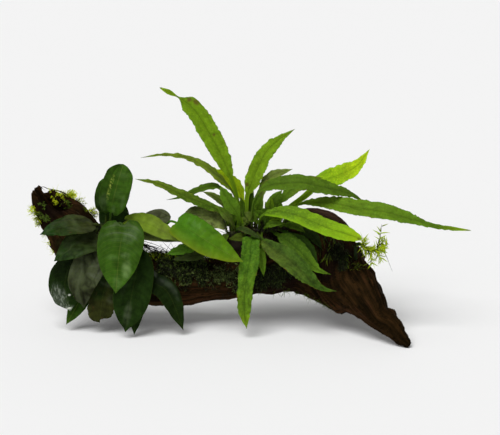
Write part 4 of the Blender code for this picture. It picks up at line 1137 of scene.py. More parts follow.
def waxy_finish(name, leaf, blade, seed):
    """Leathery leaf: side veins pressed in as arcs, a paler midrib, and a wax or a film of water, with
    painted highlights and painted shade in places.
    """
    leafy = Finish(
        name, Specular_IOR_Level=0.02, Coat_Roughness=0.08, Subsurface_Weight=0.08,
        Subsurface_Radius=LEAF_GLOW, Subsurface_Scale=0.6 * MM)
    side = leafy.attribute("blade", 0)
    run = leafy.attribute("blade", 1)
    x = leafy.attribute("blade", 2)
    clouds = leafy.clouds(leafy.stretched("blade", (9, 11, 9), seed), detail=3)
    mottle = leafy.clouds(leafy.stretched("blade", (1.6, 2.6, 2.6), seed + 3), detail=4, roughness=0.6)
    fine = leafy.clouds(leafy.stretched("blade", (1.0, 1.2, 1.2), seed), detail=3, roughness=0.6)
    arcs = (run * 0.85 - x * x * 0.026 + clouds * 2).sine()
    veins = abs(arcs).rise(0.28, 0.0) * abs(side).rise(1.0, 0.7)
    if name == "anubias_leaf_young":
        veins = veins * 0.4
    midrib = abs(x).rise(0.7, 0.25)
    pale = 0.22 if leaf.tip[1] > 0.055 else 0.05
    turn = COLOUR_TURN.get(name, (0.15, 0.95))
    colour = leafy.blend((run * (1 / blade) + clouds * 0.8 - 0.4).rise(*turn), leaf.base, leaf.tip)
    patches = leafy.clouds(leafy.stretched("blade", (6, 9, 6), seed + 13), detail=4)
    cloudy = 1 + (patches - 0.5) * MOTTLED.get(name, 1.9) + (mottle - 0.5) * 0.30
    colour = leafy.shade(colour, cloudy + arcs * RIBBED.get(name, 0.03))
    colour = leafy.blend(veins * (0.9 if name == "anubias_leaf_front" else 0.5) * pale, colour, WAX_OLIVE)
    colour = leafy.blend(midrib * run.rise(0, 0.4 * blade) * pale, colour, WAX_OLIVE)
    colour = leafy.blend(abs(side).rise(0.96, 1.0) * 0.15, colour, WAX_OLIVE)
    if name == "anubias_leaf_upright":
        torn = leafy.clouds(leafy.stretched("blade", (1.5, 1.7, 1.5), 5), detail=3, roughness=0.6)
        torn_line = side.rise(-0.26, -0.36) * side.rise(-0.56, -0.44) * run.rise(10, 18) * run.rise(38, 32)
        colour = leafy.blend(torn_line * torn.rise(0.48, 0.56) * 0.9, colour, TORN_EDGE)
        # The blade beyond the torn line is darkened: painted shade.
        colour = leafy.shade(colour, 1 - side.rise(-0.42, -0.54) * 0.35)
    if name == "anubias_leaf_young":
        turned = side.rise(0.1, 0.9) * 0.35 + side.rise(0.75, 1.0) * 0.35
        colour = leafy.blend(turned + run.rise(0.75 * blade, blade) * 0.3, colour, YOUNG_EDGE)
    if leaf.spots:
        worn = leafy.clouds(leafy.stretched("blade", (5, 9, 5), seed + 20), detail=4, roughness=0.6)
        colour = leafy.blend(worn.rise(0.62 - 0.1 * leaf.spots, 0.75) * 0.7, colour, BROWN)
    colour = leafy.blend(leafy.attribute("stalk").rise(0, 0.5) * 0.8, colour, STALK_GREEN)
    if name == "anubias_leaf_front":
        lobe_arcs = arcs.rise(0.55, 1.0) * run.rise(20, 8) * abs(side).rise(0.95, 0.7)
        colour = leafy.blend(lobe_arcs * 0.35, colour, DULL_SHINE)
        # A darker oval under the bulge in the middle of the blade: painted shade.
        colour = leafy.shade(colour, 1 - oval(run, x, (38, 0), (6, 7)) * 0.35)
    if name in CREASES:
        folds = leafy.clouds(leafy.stretched("blade", (11, 20, 11), seed + 50), detail=1)
        colour = leafy.blend(abs(folds - 0.54).rise(0.10, 0.0) * CREASES[name], colour, DULL_SHINE)
        colour = leafy.shade(colour, 1 - abs(folds - 0.42).rise(0.06, 0.0) * 0.35)
    height = arcs * 0.20 + fine * 0.2 - midrib * 0.8 + clouds * 3.0 + mottle * 0.6
    coat = 0.0
    if name == "anubias_leaf_wet":
        # The water film's streaks and a wash over the wet part are painted highlights; the coat adds a little
        # real gloss.
        film = leafy.clouds(leafy.stretched("blade", (1.5, 3.4, 1.5), seed + 40), detail=4, roughness=0.6)
        where = oval(run, x, (44, 8), (17, 12)) + oval(run, x, (56, -1), (6, 8)) * 1.2
        streaks = film.rise(0.46, 0.60) * where.rise(0.05, 0.6)
        colour = leafy.blend(streaks * 0.34 + where.rise(0, 1) * 0.14, colour, WET_SHINE)
        coat = streaks * 0.12
        height = film * 6 + fine
    # Each row paints a highlight into the colour, and adds a little real coat.
    for row in PAINTED_HIGHLIGHTS.get(name, ()):
        shine = oval(run, x, row[:2], row[2:4]) * (0.8 + arcs * 0.2) * patches.rise(0.15, 0.65) * row[4] * 1.2
        colour = leafy.blend(shine * 0.55, colour, HIGHLIGHT_COLOURS.get(name, DULL_SHINE))
        coat = coat + shine * 0.3
    return leafy.done(
        Base_Color=colour, Roughness=0.30 + fine * 0.16, Coat_Weight=coat,
        Normal=leafy.bump(height, 0.5, 0.7 * MM))


for number, (name, leaf) in enumerate([*ANUBIAS_LEAVES.items(), ("anubias_leaf_under_right", UNDER_LEAF)]):
    foot = leaf_foot(leaf, ANUBIAS_RHIZOME_LINE, ANUBIAS_RHIZOME_RADIUS)
    seed = 100 + 2.9 * number
    ripple = (of_leaf(LEAF_RIPPLES, name) * MM, 27 * MM)
    nicks = of_leaf(LEAF_NICKS, name) * MM
    tear = of_leaf(LEAF_TEARS, name) * MM
    lobe = of_leaf(LEAF_LOBES, name)
    mesh, blade = leaf_mesh(
        name, leaf, foot, ANUBIAS_THICKNESS, ANUBIAS_FOLD, lobe, 0, ripple, nicks, seed, tear)
    nodes = (name,) if name in ANUBIAS_LEAVES else ()
    show(name, mesh, waxy_finish(name, leaf, blade, seed), nodes)


# ================================================================ roots
# Dark hair roots: a felt of them ties the fern's rhizome to the log, and stray ones stand up between
# the stalks. The anubias grips the log with thicker roots, which run over the bark and across gaps.

FELT_CENTRE = (2, 8, 75)
FELT_HALF_SIZES = (33, 17, 17)
FELT_TOP = 87.8
FELT_SLOPE = 0.18
FELT_RINGS = 60
FELT_SIDES = 96
CRAWL_STEP = 2.2 * MM
ROOT_DARK = (0.005, 0.003, 0.0012)
ROOT_LIGHT = (0.050, 0.030, 0.012)
ROOT_PALE = (0.20, 0.17, 0.08)
# A thin root that bridges the dip in the broken rim, in mm; both of its ends are in the wood.
RIM_ROOT = (
    (-166, 16, 117.5), (-172, 17, 123), (-178, 18, 127), (-184, 19, 129), (-190, 20.5, 129.9),
    (-194, 21.5, 130.4), (-198, 22, 132.2), (-202, 22, 131),
)


def pick(rng, part):
    """A number drawn from a range, or the fixed number that stands in its place."""
    return rng.uniform(*part) if isinstance(part, tuple) else part


def drawn(rng, *parts):
    """A random vector of three parts, each drawn from a range or fixed."""
    return Vector([pick(rng, part) for part in parts])


def either_side(rng, *parts):
    """The same, turned to the left or to the right."""
    side = rng.choice((-1, 1))
    x, y, z = drawn(rng, *parts)
    return Vector((side * x, y, z))


def stray(rng, size):
    """A random vector, each part up to size either way."""
    return drawn(rng, *[(-size, size)] * 3)


def root_finish(name, dark, light):
    """Matt root skin, from dark to light by the tone of each root."""
    root = Finish(name, Specular_IOR_Level=0.1)
    tone = root.attribute("tone")
    speck = root.clouds(root.node("ShaderNodeNewGeometry"), 700, detail=3)
    colour = root.blend(tone * 0.9 + speck * 0.4 - 0.2, dark, light)
    return root.done(Base_Color=colour, Roughness=0.85 - speck * 0.2, Normal=root.bump(speck, 0.4, 0.3 * MM))


class Roots:
    """Roots and hairs gathered into one mesh, with a tone for each."""

    def __init__(self, seed):
        self.rng = random.Random(seed)
        self.verts, self.faces, self.tone = [], [], []

    def grow(self, centres, thick, tone, sides=3):
        """One root along a line of points, thinner towards its tip."""
        last = len(centres) - 1
        tube(self.verts, self.faces, centres, [thick * (1 - 0.7 * i / last) for i in range(last + 1)], sides)
        self.tone += [tone] * (len(self.verts) - len(self.tone))

    def stray(self, size):
        return stray(self.rng, size)

    def arc(self, start, end, bow, steps=12, wander=0.0):
        """Points from start to end that bow out on the way and wander a little."""
        middle = (start + end) / 2 + bow
        points = []
        for i in range(steps + 1):
            t = i / steps
            point = start * (1 - t) ** 2 + middle * 2 * t * (1 - t) + end * t * t
            points.append(point + self.stray(wander) * math.sin(math.pi * t))
        return points

    def bridge(self, start, end, bow, steps, wander, thick, tone):
        """One root that bows from start to end; wander and thick are in mm, and tone may be a range."""
        line = self.arc(start, end, bow, steps, wander * MM)
        self.grow(line, pick(self.rng, thick) * MM, pick(self.rng, tone))

    def crawl(self, start, way, length, lift):
        """Points that follow the wood's skin from start."""
        point, _ = on_wood(start, lift)
        points = [point]
        for _ in range(max(2, round(length / CRAWL_STEP))):
            way = (way + self.stray(0.45)).normalized()
            point, normal = on_wood(points[-1] + way * CRAWL_STEP, lift)
            way = (way - normal * way.dot(normal)).normalized()
            points.append(point)
        return points

    def piece(self, name, finish, nodes=()):
        mesh = new_mesh(name, self.verts, self.faces)
        store(mesh, "tone", self.tone)
        show(name, mesh, finish, nodes)


def felt_skin(roots):
    """The body of the felt: a lumpy cushion between the rhizome and the log."""
    rings = []
    for i in range(1, FELT_RINGS):
        polar = math.pi * i / FELT_RINGS
        ring = []
        for j in range(FELT_SIDES):
            turn = -2 * math.pi * j / FELT_SIDES
            level, out = math.cos(polar), math.sin(polar)
            way = Vector((level, out * math.cos(turn), out * math.sin(turn)))
            swell = 0.92 + 0.28 * noise.noise(way * 2.5) + 0.16 * noise.noise(way * 9)
            swell += 0.07 * noise.noise(way * 25)
            point = Vector(a * b * swell for a, b in zip(way, FELT_HALF_SIZES)) + Vector(FELT_CENTRE)
            point.z = min(point.z, FELT_TOP + FELT_SLOPE * point.x)
            ring.append(point * MM)
        rings.append(ring)
    loft(roots.verts, roots.faces, rings)
    roots.tone += [0.12] * len(roots.verts)


def fern_roots():
    """The felt, its roots down to the bark, hairs that stand up from it, and roots between the stalks."""
    roots = Roots(4)
    felt_skin(roots)
    rows = line_points(FERN_RHIZOME_LINE, STEM_PLACES)
    rng = roots.rng
    # Roots from the rhizome down to the bark, and on along it.
    for _ in range(420):
        start = rng.choice(rows)
        turn = rng.uniform(0, 2 * math.pi)
        out = Vector((rng.uniform(-0.5, 0.5), math.sin(turn), -0.35 - 0.65 * abs(math.cos(turn))))
        root = start + out.normalized() * FERN_RHIZOME_RADIUS * 0.8
        end, _ = on_wood(root + out * rng.uniform(10, 26) * MM + roots.stray(5 * MM), 0.2 * MM)
        line = roots.arc(root, end, Vector((0, out.y, 0)) * rng.uniform(0, 9) * MM, 8, 1.0 * MM)
        way = drawn(rng, (-1, 1), 0, -0.6)
        line += roots.crawl(end, way, rng.uniform(4, 16) * MM, 0.15 * MM)[1:]
        roots.grow(line, rng.uniform(0.14, 0.34) * MM, rng.random() ** 2)
    # Fine hairs that stand up from the bark.
    for _ in range(500):
        start, _ = on_wood(drawn(rng, (-34, 44), (-16, 26), (66, 84)) * MM)
        lean = drawn(rng, (-1, 1), (-0.9, 0.5), (0.1, 1)).normalized()
        end = start + lean * rng.uniform(6, 14) * MM
        roots.bridge(start, end, roots.stray(5 * MM), 7, 0.7, (0.09, 0.2), (0, 1))
    # Hairs that stand up from the rhizome.
    for _ in range(60):
        start = rng.choice(rows) + Vector((0, 0, 2 * MM))
        end = start + drawn(rng, (-13, 13), (-6, 8), (3, 17)) * MM
        roots.bridge(start, end, roots.stray(5 * MM), 9, 0.6, (0.10, 0.2), 0.1)
    # Short roots all round the rhizome.
    for _ in range(240):
        row = rng.choice(rows)
        out = drawn(rng, (-0.6, 0.6), (-1, 0.6), (-0.2, 1)).normalized()
        start = row + out * FERN_RHIZOME_RADIUS * 0.8
        end = start + out * rng.uniform(1.5, 4) * MM + drawn(rng, (-5, 5), 0, (-4, 2)) * MM
        roots.bridge(start, end, out * 2 * MM, 6, 0.3, (0.18, 0.36), (0, 0.25))
    # Stiffer roots that cross between the stalks.
    for _ in range(26):
        start = drawn(rng, (-9, 10), (2, 12), (90, 95)) * MM
        end = start + either_side(rng, (5, 13), (-3, 3), (8, 19)) * MM
        roots.bridge(start, end, roots.stray(2 * MM), 8, 0.15, (0.28, 0.42), 0.1)
    # Roots that run from the rhizome's left end to the log.
    for _ in range(46):
        start = rows[rng.randrange(0, 8)]
        end, _ = on_wood(drawn(rng, (-44, -24), (-8, 16), 70) * MM)
        roots.bridge(start, end, roots.stray(8 * MM), 9, 0.8, (0.12, 0.26), 0.15)
    roots.piece("fern_roots", root_finish("hair_roots", ROOT_DARK, ROOT_LIGHT), ("fern_root_mat",))


def anubias_roots():
    """Thick roots over the bark, roots across the gap at the rhizome's end, and stray ones on the log."""
    roots = Roots(8)
    rows = line_points(ANUBIAS_RHIZOME_LINE, STEM_PLACES)
    rng = roots.rng
    # Thick roots that grip the bark.
    for _ in range(34):
        start = rows[rng.randrange(4, STEM_PLACES)]
        way = Vector((rng.uniform(-0.6, 0.9), rng.choice((-1, 1)) * rng.uniform(0.4, 1), -0.6))
        line = [start] + roots.crawl(start + way * 5 * MM, way, rng.uniform(20, 60) * MM, 0.4 * MM)
        roots.grow(line, rng.uniform(0.4, 0.75) * MM, 0.5 + 0.5 * rng.random(), 6)
    # Roots that bow from the rhizome's right end over to the log.
    for _ in range(22):
        start = rows[rng.randrange(48, STEM_PLACES)] + roots.stray(2 * MM)
        end, _ = on_wood(drawn(rng, (-100, -60), (-8, 12), 66) * MM)
        bow = drawn(rng, 0, 0, (0, 10)) * MM + roots.stray(3 * MM)
        roots.bridge(start, end, bow, 12, 0.1, (0.30, 0.48), (0, 0.1))
    # Stray roots that stand up from the top of the log.
    for _ in range(16):
        start, _ = on_wood(drawn(rng, (-104, -66), (-2, 8), 72) * MM)
        end = start + either_side(rng, (7, 16), (-5, 3), (6, 15)) * MM
        roots.bridge(start, end, roots.stray(2 * MM), 8, 0.1, (0.28, 0.42), 0.05)
    roots.piece("anubias_roots", root_finish("anubias_root", ROOT_DARK, ROOT_LIGHT))


# Bare young roots: start in mm, way, length, height over the bark and thickness in mm, and tone.
PALE_ROOTS = (
    ((-66, -12, 62), (0.05, 0, -1), 20, 0.35, 0.5, 1.0),
    ((-92, -12, 58), (0.9, 0, -0.5), 26, 0.3, 0.35, 0.7),
)


def pale_root():
    """Two bare young roots that run down the front of the log."""
    roots = Roots(2)
    for start, way, length, lift, thick, tone in PALE_ROOTS:
        line = roots.crawl(Vector(start) * MM, Vector(way), length * MM, lift * MM)
        roots.grow(line, thick * MM, tone, 6)
    roots.piece("pale_root", root_finish("pale_root", ROOT_LIGHT, ROOT_PALE))


def horn_hairs():
    """Thin curled hairs at the broken end, and the root that bridges the dip in its rim."""
    roots = Roots(5)
    rng = roots.rng
    for _ in range(12):
        start, _ = on_wood(log_point(0, rng.uniform(0.9, 1.3) * math.pi))
        way = drawn(rng, (0.5, 1), (-0.3, 0.3), (-0.6, 0)).normalized()
        end = start + way * rng.uniform(4, 10) * MM
        roots.bridge(start, end, drawn(rng, 0, 0, (0.5, 3.5)) * MM, 10, 0.15, (0.12, 0.2), (0.3, 0.8))
    start, _ = on_wood(Vector((-150, 12, 112)) * MM)
    end = start + Vector((-9, -2, 6)) * MM
    roots.grow(roots.arc(start, end, Vector((1, 0, 3)) * MM, 10), 0.16 * MM, 0.5)
    roots.grow(line_points(RIM_ROOT, 24), 0.9 * MM, 0.45, 6)
    roots.piece("horn_hairs", root_finish("horn_hair", ROOT_DARK, ROOT_LIGHT))


fern_roots()
anubias_roots()
pale_root()
horn_hairs()


# ================================================================ moss
# Java moss, tied on and grown over the bark: short stems with pointed leaflets all round. New sprigs
# in the light are lime, and the old ones on the log's front are nearly black.

# Mats on the log: share of the length, angle from the top towards the front, thickness in mm, sprigs.
MOSS_MATS = {
    "moss_on_trunk": ((0.30, 0.45), (-67, 90), 4.0, 1500),
    "moss_below_fern": ((0.475, 0.625), (68, 135), 3.0, 1100),
    "moss_on_shoulder": ((0.70, 0.80), (45, 112), 3.5, 300),
}
SHOULDER_SEED = 2  # the shoulder's mat is the third, and its lower half is nearly bare
MOSS_BLACK = (0.0065, 0.0080, 0.0022)
MOSS_OLD = (0.078, 0.120, 0.024)
MOSS_DIM = (0.026, 0.034, 0.010)
HORN_LIME = (0.600, 0.700, 0.016)
MOSS_NEW = (0.38, 0.50, 0.010)
MOSS_SHADE = (0.050, 0.085, 0.006)
MOSS_FERNY = (0.145, 0.195, 0.055)
MOSS_DEEP = (0.010, 0.019, 0.003)
BED_ROWS = 90
BED_COLUMNS = 50


def wobble(rng, size):
    """A random vector that is mostly short, and sometimes more than size long."""
    return Vector([rng.gauss(0, size) for _ in range(3)])


def bowed(start, end, bow, steps=8):
    """Points from start to end that stand off the straight line by bow at their middle."""
    return [start.lerp(end, t / steps) + bow * math.sin(math.pi * t / steps) for t in range(steps + 1)]


def sprig_shape(rng, leaflet, count, narrow, spread=1.0):
    """One moss sprig a unit long along +Z: a stem with pointed leaflets all round, as triangles."""
    points, triangles, reach = [], [], []
    bend = drawn(rng, (-0.4, 0.4), (-0.4, 0.4), 0)

    def stem(t):
        return Vector((0, 0, t)) + bend * t * t

    for i in range(5):
        for j in range(3):
            turn = 2 * math.pi * j / 3
            points.append(stem(i / 4) + Vector((math.cos(turn), math.sin(turn), 0)) * 0.025 * (1.2 - i / 4))
            reach.append(0.6 * i / 4)
    for i in range(4):
        for j in range(3):
            a, b = 3 * i + j, 3 * i + (j + 1) % 3
            triangles += [(a, b, b + 3), (a, b + 3, a + 3)]
    for i in range(count):
        t = 0.12 + 0.88 * i / (count - 1)
        turn = 2.4 * i + rng.uniform(-0.4, 0.4)
        size = leaflet * (1.15 - 0.45 * t) * rng.uniform(0.7, 1.25)
        open_out = spread * rng.uniform(0.7, 1.1) * (1.1 - 0.5 * t)
        rise = rng.uniform(0.5, 0.9)
        way = Vector((math.cos(turn) * open_out, math.sin(turn) * open_out, rise)).normalized()
        wide = way.cross(Vector((0, 0, 1))).normalized() * size * narrow
        lift = way.cross(wide).normalized() * size * narrow * 0.4
        root = stem(t)
        belly = root + way * size * 0.4
        first = len(points)
        points += [root, belly + wide, root + way * size, belly - wide, belly + lift]
        triangles += [(first, first + 1, first + 4), (first + 1, first + 2, first + 4),
                      (first + 2, first + 3, first + 4), (first + 3, first, first + 4)]
        reach += [0.6 * t, 0.6 * t + 0.15, min(1, 0.6 * t + 0.4), 0.6 * t + 0.15, 0.6 * t + 0.1]
    return np.array(points), np.array(triangles), np.array(reach)


def needle_shape(rng, narrow):
    """One bent, pointed needle a unit long along +Z, as triangles."""
    bend = drawn(rng, (-0.3, 0.3), (-0.3, 0.3), 0)
    points, triangles, reach = [], [], []
    widths = (0.6, 1, 0.8, 0.45, 0.02)
    for i, wide in enumerate(widths):
        t = i / 4
        middle = Vector((0, 0, t)) + bend * t * t
        for x, y in ((1, 0), (0, 0.4), (-1, 0), (0, -0.4)):
            points.append(middle + Vector((x, y, 0)) * wide * narrow)
            reach.append(0.35 + 0.65 * t)
    for i in range(4):
        for j in range(4):
            a, b = 4 * i + j, 4 * i + (j + 1) % 4
            triangles += [(a, b, b + 4), (a, b + 4, a + 4)]
    return np.array(points), np.array(triangles), np.array(reach)


class Moss:
    """Sprigs gathered into one mesh, with a tone for each and how far along it each point is."""

    def __init__(self, seed):
        self.rng = random.Random(seed)
        self.points, self.triangles, self.tone, self.reach = [], [], [], []
        self.count = 0

    def add(self, points, triangles, reach, tone):
        self.points.append(points)
        self.triangles.append(triangles + self.count)
        self.reach.append(reach)
        self.tone.append(np.full(len(points), tone))
        self.count += len(points)

    def plant(self, shapes, place, way, size, tone):
        """Sets one of the sprigs at place, growing along way."""
        points, triangles, reach = self.rng.choice(shapes)
        turn = Matrix.Rotation(self.rng.uniform(0, 2 * math.pi), 3, "Z")
        stand = way.to_track_quat("Z", "Y").to_matrix() @ turn
        self.add(points @ np.array(stand).T * size + np.array(place), triangles, reach, tone)

    def strand(self, centres, thick, tone, reach=0.5):
        """A bare stem along a line of points."""
        verts, faces = [], []
        last = len(centres) - 1
        tube(verts, faces, centres, [thick * (1 - 0.6 * i / last) for i in range(last + 1)], 4)
        triangles = []
        for face in faces:
            triangles += [(face[0], face[i], face[i + 1]) for i in range(1, len(face) - 1)]
        self.add(np.array(verts), np.array(triangles), np.full(len(verts), reach), tone)

    def piece(self, name, finish, nodes=()):
        mesh = new_mesh(name, np.concatenate(self.points), np.concatenate(self.triangles))
        store(mesh, "tone", np.concatenate(self.tone))
        store(mesh, "reach", np.concatenate(self.reach))
        show(name, mesh, finish, nodes)


def moss_finish(name, old, new):
    """Sprigs dark at their feet and lighter towards their tips; tone makes some newer."""
    moss = Finish(
        name, Specular_IOR_Level=0.1, Subsurface_Weight=0.15, Subsurface_Radius=LEAF_GLOW,
        Subsurface_Scale=0.4 * MM)
    reach = moss.attribute("reach")
    speck = moss.clouds(moss.node("ShaderNodeNewGeometry"), 450, detail=2)
    light = (reach * 0.6 + moss.attribute("tone") * 0.9 + speck * 0.3 - 0.5).rise(0, 0.9)
    return moss.done(Base_Color=moss.blend(light, old, new), Roughness=0.65 - reach * 0.15)


def mat_cover(u, v, seed):
    """How thick a mat is at a place within it, from -1 for bare bark to 1."""
    rim = min(1, 4.5 * min(u, 1 - u, v, 1 - v))
    patch = noise.noise(Vector((5.5 * u, 3.2 * v, seed)))
    patch += 0.5 * noise.noise(Vector((15 * u, 9 * v, seed + 5)))
    worn = 1.2 * smooth(0.2, 0.6, v) if seed == SHOULDER_SEED else 0
    return rim * 1.1 - 0.65 + 1.1 * patch - worn


def mat_place(shares, angles, u, v):
    """A place within a mat: its foot on the bark, the way out of the bark, and the angle round the log."""
    share = shares[0] + (shares[1] - shares[0]) * u
    angle = math.radians(angles[0] + (angles[1] - angles[0]) * v)
    low, high = log_point(share, angle), log_point(share, angle, 2 * MM)
    foot, _ = on_wood(low)
    return foot, (high - low).normalized(), angle


def moss_bed(moss, shares, angles, thickness, seed):
    """The matted foot of a moss: a lumpy skin on the bark that sinks into it where the bark is bare."""
    rows, columns = BED_ROWS, BED_COLUMNS
    points, reach = [], []
    for layer in (1, 0):
        for i in range(rows):
            for j in range(columns):
                u, v = i / (rows - 1), j / (columns - 1)
                foot, out, _ = mat_place(shares, angles, u, v)
                cover = min(mat_cover(u, v, seed), 1)
                fine = 0.3 * noise.noise(Vector((120 * u, 70 * v, seed)))
                height = max(thickness * (cover * 0.45 + fine * 0.5), -1.4) if layer else -2.2
                points.append(foot + out * height * MM)
                reach.append(0.12 * layer)
    faces = []
    size = rows * columns
    for i in range(rows - 1):
        for j in range(columns - 1):
            a = i * columns + j
            top = (a, a + columns, a + columns + 1, a + 1)
            faces += [(top[0], top[1], top[2]), (top[0], top[2], top[3])]
            low = tuple(n + size for n in reversed(top))
            faces += [(low[0], low[1], low[2]), (low[0], low[2], low[3])]
    loop = list(range(columns)) + [i * columns + columns - 1 for i in range(1, rows)]
    loop += [(rows - 1) * columns + j for j in range(columns - 2, -1, -1)]
    loop += [i * columns for i in range(rows - 2, 0, -1)]
    for a, b in zip(loop, loop[1:] + loop[:1]):
        faces += [(a, b, b + size), (a, b + size, a + size)]
    moss.add(np.array(points), np.array(faces), np.array(reach), 0.25)


def moss_mats():
    """Matted sprigs and needles, thinner where the bark is bare and lighter on top of the log."""
    for seed, (name, (shares, angles, thickness, sprigs)) in enumerate(MOSS_MATS.items()):
        moss = Moss(seed)
        rng = moss.rng
        shapes = [sprig_shape(rng, 0.45, 9, 0.20) for _ in range(6)]
        shapes += [needle_shape(rng, 0.10) for _ in range(8)]
        moss_bed(moss, shares, angles, thickness, seed)
        planted = 0
        while planted < sprigs:
            u, v = rng.random(), rng.random()
            cover = mat_cover(u, v, seed)
            if cover < rng.uniform(-0.25, 0.3):
                continue
            planted += 1
            foot, out, angle = mat_place(shares, angles, u, v)
            foot += out * max(cover, 0) * 0.3 * thickness * MM
            way = out + stray(rng, 1)
            crest = max(0, math.cos(angle)) ** 3
            tone = rng.random() ** 3 * 0.8 + 0.45 * crest * rng.random()
            way.z -= 0.6 * (1 - crest)
            moss.plant(shapes, foot, way, rng.uniform(0.7, 1.5) * thickness * MM, tone)
        new = MOSS_DIM if seed == SHOULDER_SEED else MOSS_OLD
        moss.piece(name, moss_finish(name, MOSS_BLACK, new), (name,))


# Tufts at the broken end: the middle and radius of each in mm, its sprigs and threads, and its newness.
HORN_TUFTS = {
    "moss_on_horn_rim": (
        ((-186, 19, 123), 5.5, 60, 3, 0.75), ((-171, 20, 126), 4.5, 46, 3, 0.7),
        ((-175, 12, 118), 4, 16, 1, -0.1), ((-149, 14, 109), 4, 18, 3, 0.5), ((-164, 22, 119), 4, 16, 3, 0.5),
        ((-179, 22, 124), 3.5, 18, 3, 0.7), ((-158, 10, 112), 3, 10, 2, 0.1),
    ),
    "moss_on_horn_side": (
        ((-209, 5, 114), 2.6, 12, 2, 0.8), ((-206, 4, 109), 1.0, 12, 2, 0.35),
        ((-205, 3, 104), 1.0, 12, 2, 0.45), ((-203, 3, 99), 1.0, 9, 2, 0.5), ((-198, 2, 88), 1, 2, 10, 0.5),
        ((-194, 2, 81), 1, 2, 12, 0.5), ((-189, 1, 74), 1, 2, 12, 0.5), ((-200, -2, 112), 2.5, 7, 1, -0.2),
        ((-198, -2, 119), 3, 5, 0, -0.35), ((-195, -3, 106), 3.5, 8, 1, -0.3),
        ((-188, -4, 99), 3, 5, 0, -0.35),
    ),
}


def horn_moss():
    """Bright sprigs that stand out from the rim and side of the broken end."""
    for seed, (name, tufts) in enumerate(HORN_TUFTS.items()):
        moss = Moss(20 + seed)
        rng = moss.rng
        shapes = [sprig_shape(rng, 0.5, 10, 0.15, 1.4) for _ in range(8)]
        for middle, radius, sprigs, threads, newness in tufts:
            for _ in range(sprigs):
                goal = (Vector(middle) + wobble(rng, 0.55) * radius) * MM
                foot, normal = on_wood(goal)
                gap = (goal - foot).length
                grow = (goal - foot) if (goal - foot).dot(normal) > 0 else normal * MM
                grow = (grow.normalized() + normal * 0.4 + wobble(rng, 0.4)).normalized()
                size = min(max(gap * 1.2, rng.uniform(0.6, 1.0) * (1.5 + 0.55 * radius) * MM), 7 * MM)
                moss.plant(shapes, foot - normal * 0.4 * MM, grow, size, newness - 0.1 + rng.uniform(0, 0.35))
            for _ in range(threads):
                foot, normal = on_wood((Vector(middle) + stray(rng, 2.5)) * MM)
                way = normal + wobble(rng, 0.6)
                end = foot + way * rng.uniform(0.5, 1.0) * (2.5 + radius) * MM
                moss.strand(bowed(foot, end, stray(rng, 3) * MM * 0.5), 0.15 * MM, 0.8)
        moss.piece(name, moss_finish(name, MOSS_SHADE, HORN_LIME), (name,))


# The right tuft's stems: points in mm, thickness at the foot in mm, and how many needles each bears.
TUFT_STEMS = (
    (((98, -28, 84), (102.5, -27, 88), (110, -26, 82), (118, -25, 81), (125, -24, 84)), 2.0, 125),
    (((119, -25, 84), (121.5, -25, 92), (123, -24, 99), (123.5, -24, 106)), 0.45, 12),
    (((108, -27, 83), (106, -28, 89), (105, -29, 94)), 0.6, 18),
    (((119, -25, 84), (124, -24, 88), (127, -23, 91)), 0.6, 18),
    (((117, -25, 82), (121, -25, 77), (124, -25, 72)), 0.5, 16),
    (((111, -27, 82), (113, -28, 76), (115, -29, 69)), 0.6, 22),
    (((124, -24, 83), (128, -25, 76), (134, -26, 61)), 0.25, 0),
    (((120, -24, 85), (125, -23, 84), (129, -22, 85)), 0.5, 16),
)


STEM_STEPS = 16


def tuft_right():
    """A bushy tuft of pointed needles on a thick dark stem that arches out over the right limb."""
    moss = Moss(31)
    rng = moss.rng
    needle = [needle_shape(rng, 0.078) for _ in range(8)]
    for number, (points, thick, needles) in enumerate(TUFT_STEMS):
        line = line_points(points, STEM_STEPS)
        if number == 0:
            line[0], _ = on_wood(line[0])
        moss.strand(line, thick * MM, -0.1, 0.1)
        for _ in range(needles):
            t = rng.uniform(0.25 if number == 0 else 0.1, 1) * STEM_STEPS
            i = min(int(t), STEM_STEPS - 1)
            place = line[i].lerp(line[i + 1], t % 1)
            along = tangent(line, i)
            out = along.cross(wobble(rng, 1)).normalized()
            out.y *= 0.5
            way = (out + along * rng.uniform(0.1, 0.9) - Vector((0, 0, 0.15))).normalized()
            size = rng.uniform(5.5, 9.5) * MM
            tone = 0.45 + 0.7 * rng.random() * (0.5 + 0.5 * t / STEM_STEPS)
            moss.plant(needle, place, way, size, tone)
    # Needles that hang over the shoulder of the log.
    for _ in range(150):
        foot, normal = on_wood(drawn(rng, (64, 102), (-40, -16), (82, 96)) * MM)
        way = (normal * 0.55 + wobble(rng, 0.2) - Vector((0, 0, 1.3))).normalized()
        moss.plant(needle, foot, way, rng.uniform(6, 11) * MM, 0.36 * rng.random() - 0.15)
    # A small patch on the front of the limb.
    for _ in range(44):
        foot, normal = on_wood(Vector((rng.gauss(100, 2.5), -30, rng.gauss(69, 3.2))) * MM)
        way = (normal + wobble(rng, 0.6)).normalized()
        moss.plant(needle, foot, way, rng.uniform(2.5, 5.5) * MM, 0.26 * rng.random() - 0.06)
    finish = moss_finish("moss_tuft_right", MOSS_DEEP, MOSS_NEW)
    moss.piece("moss_tuft_right", finish, ("moss_tuft_right",))


# Fine sprigs on the top of the log and under it: how many, the x, y and z near which they stand and their
# length in mm, and how new they are.
CREST_SPRIGS = (
    (260, ((-108, -36), (-8, 14), 74), (2, 5.5), (0, 0.8)),
    (150, ((-110, -78), (-2, 12), 76), (2.5, 6), (0.4, 1)),
    (170, ((34, 80), (-26, -4), (18, 28)), (1.2, 3.2), (-0.1, 0.15)),
)


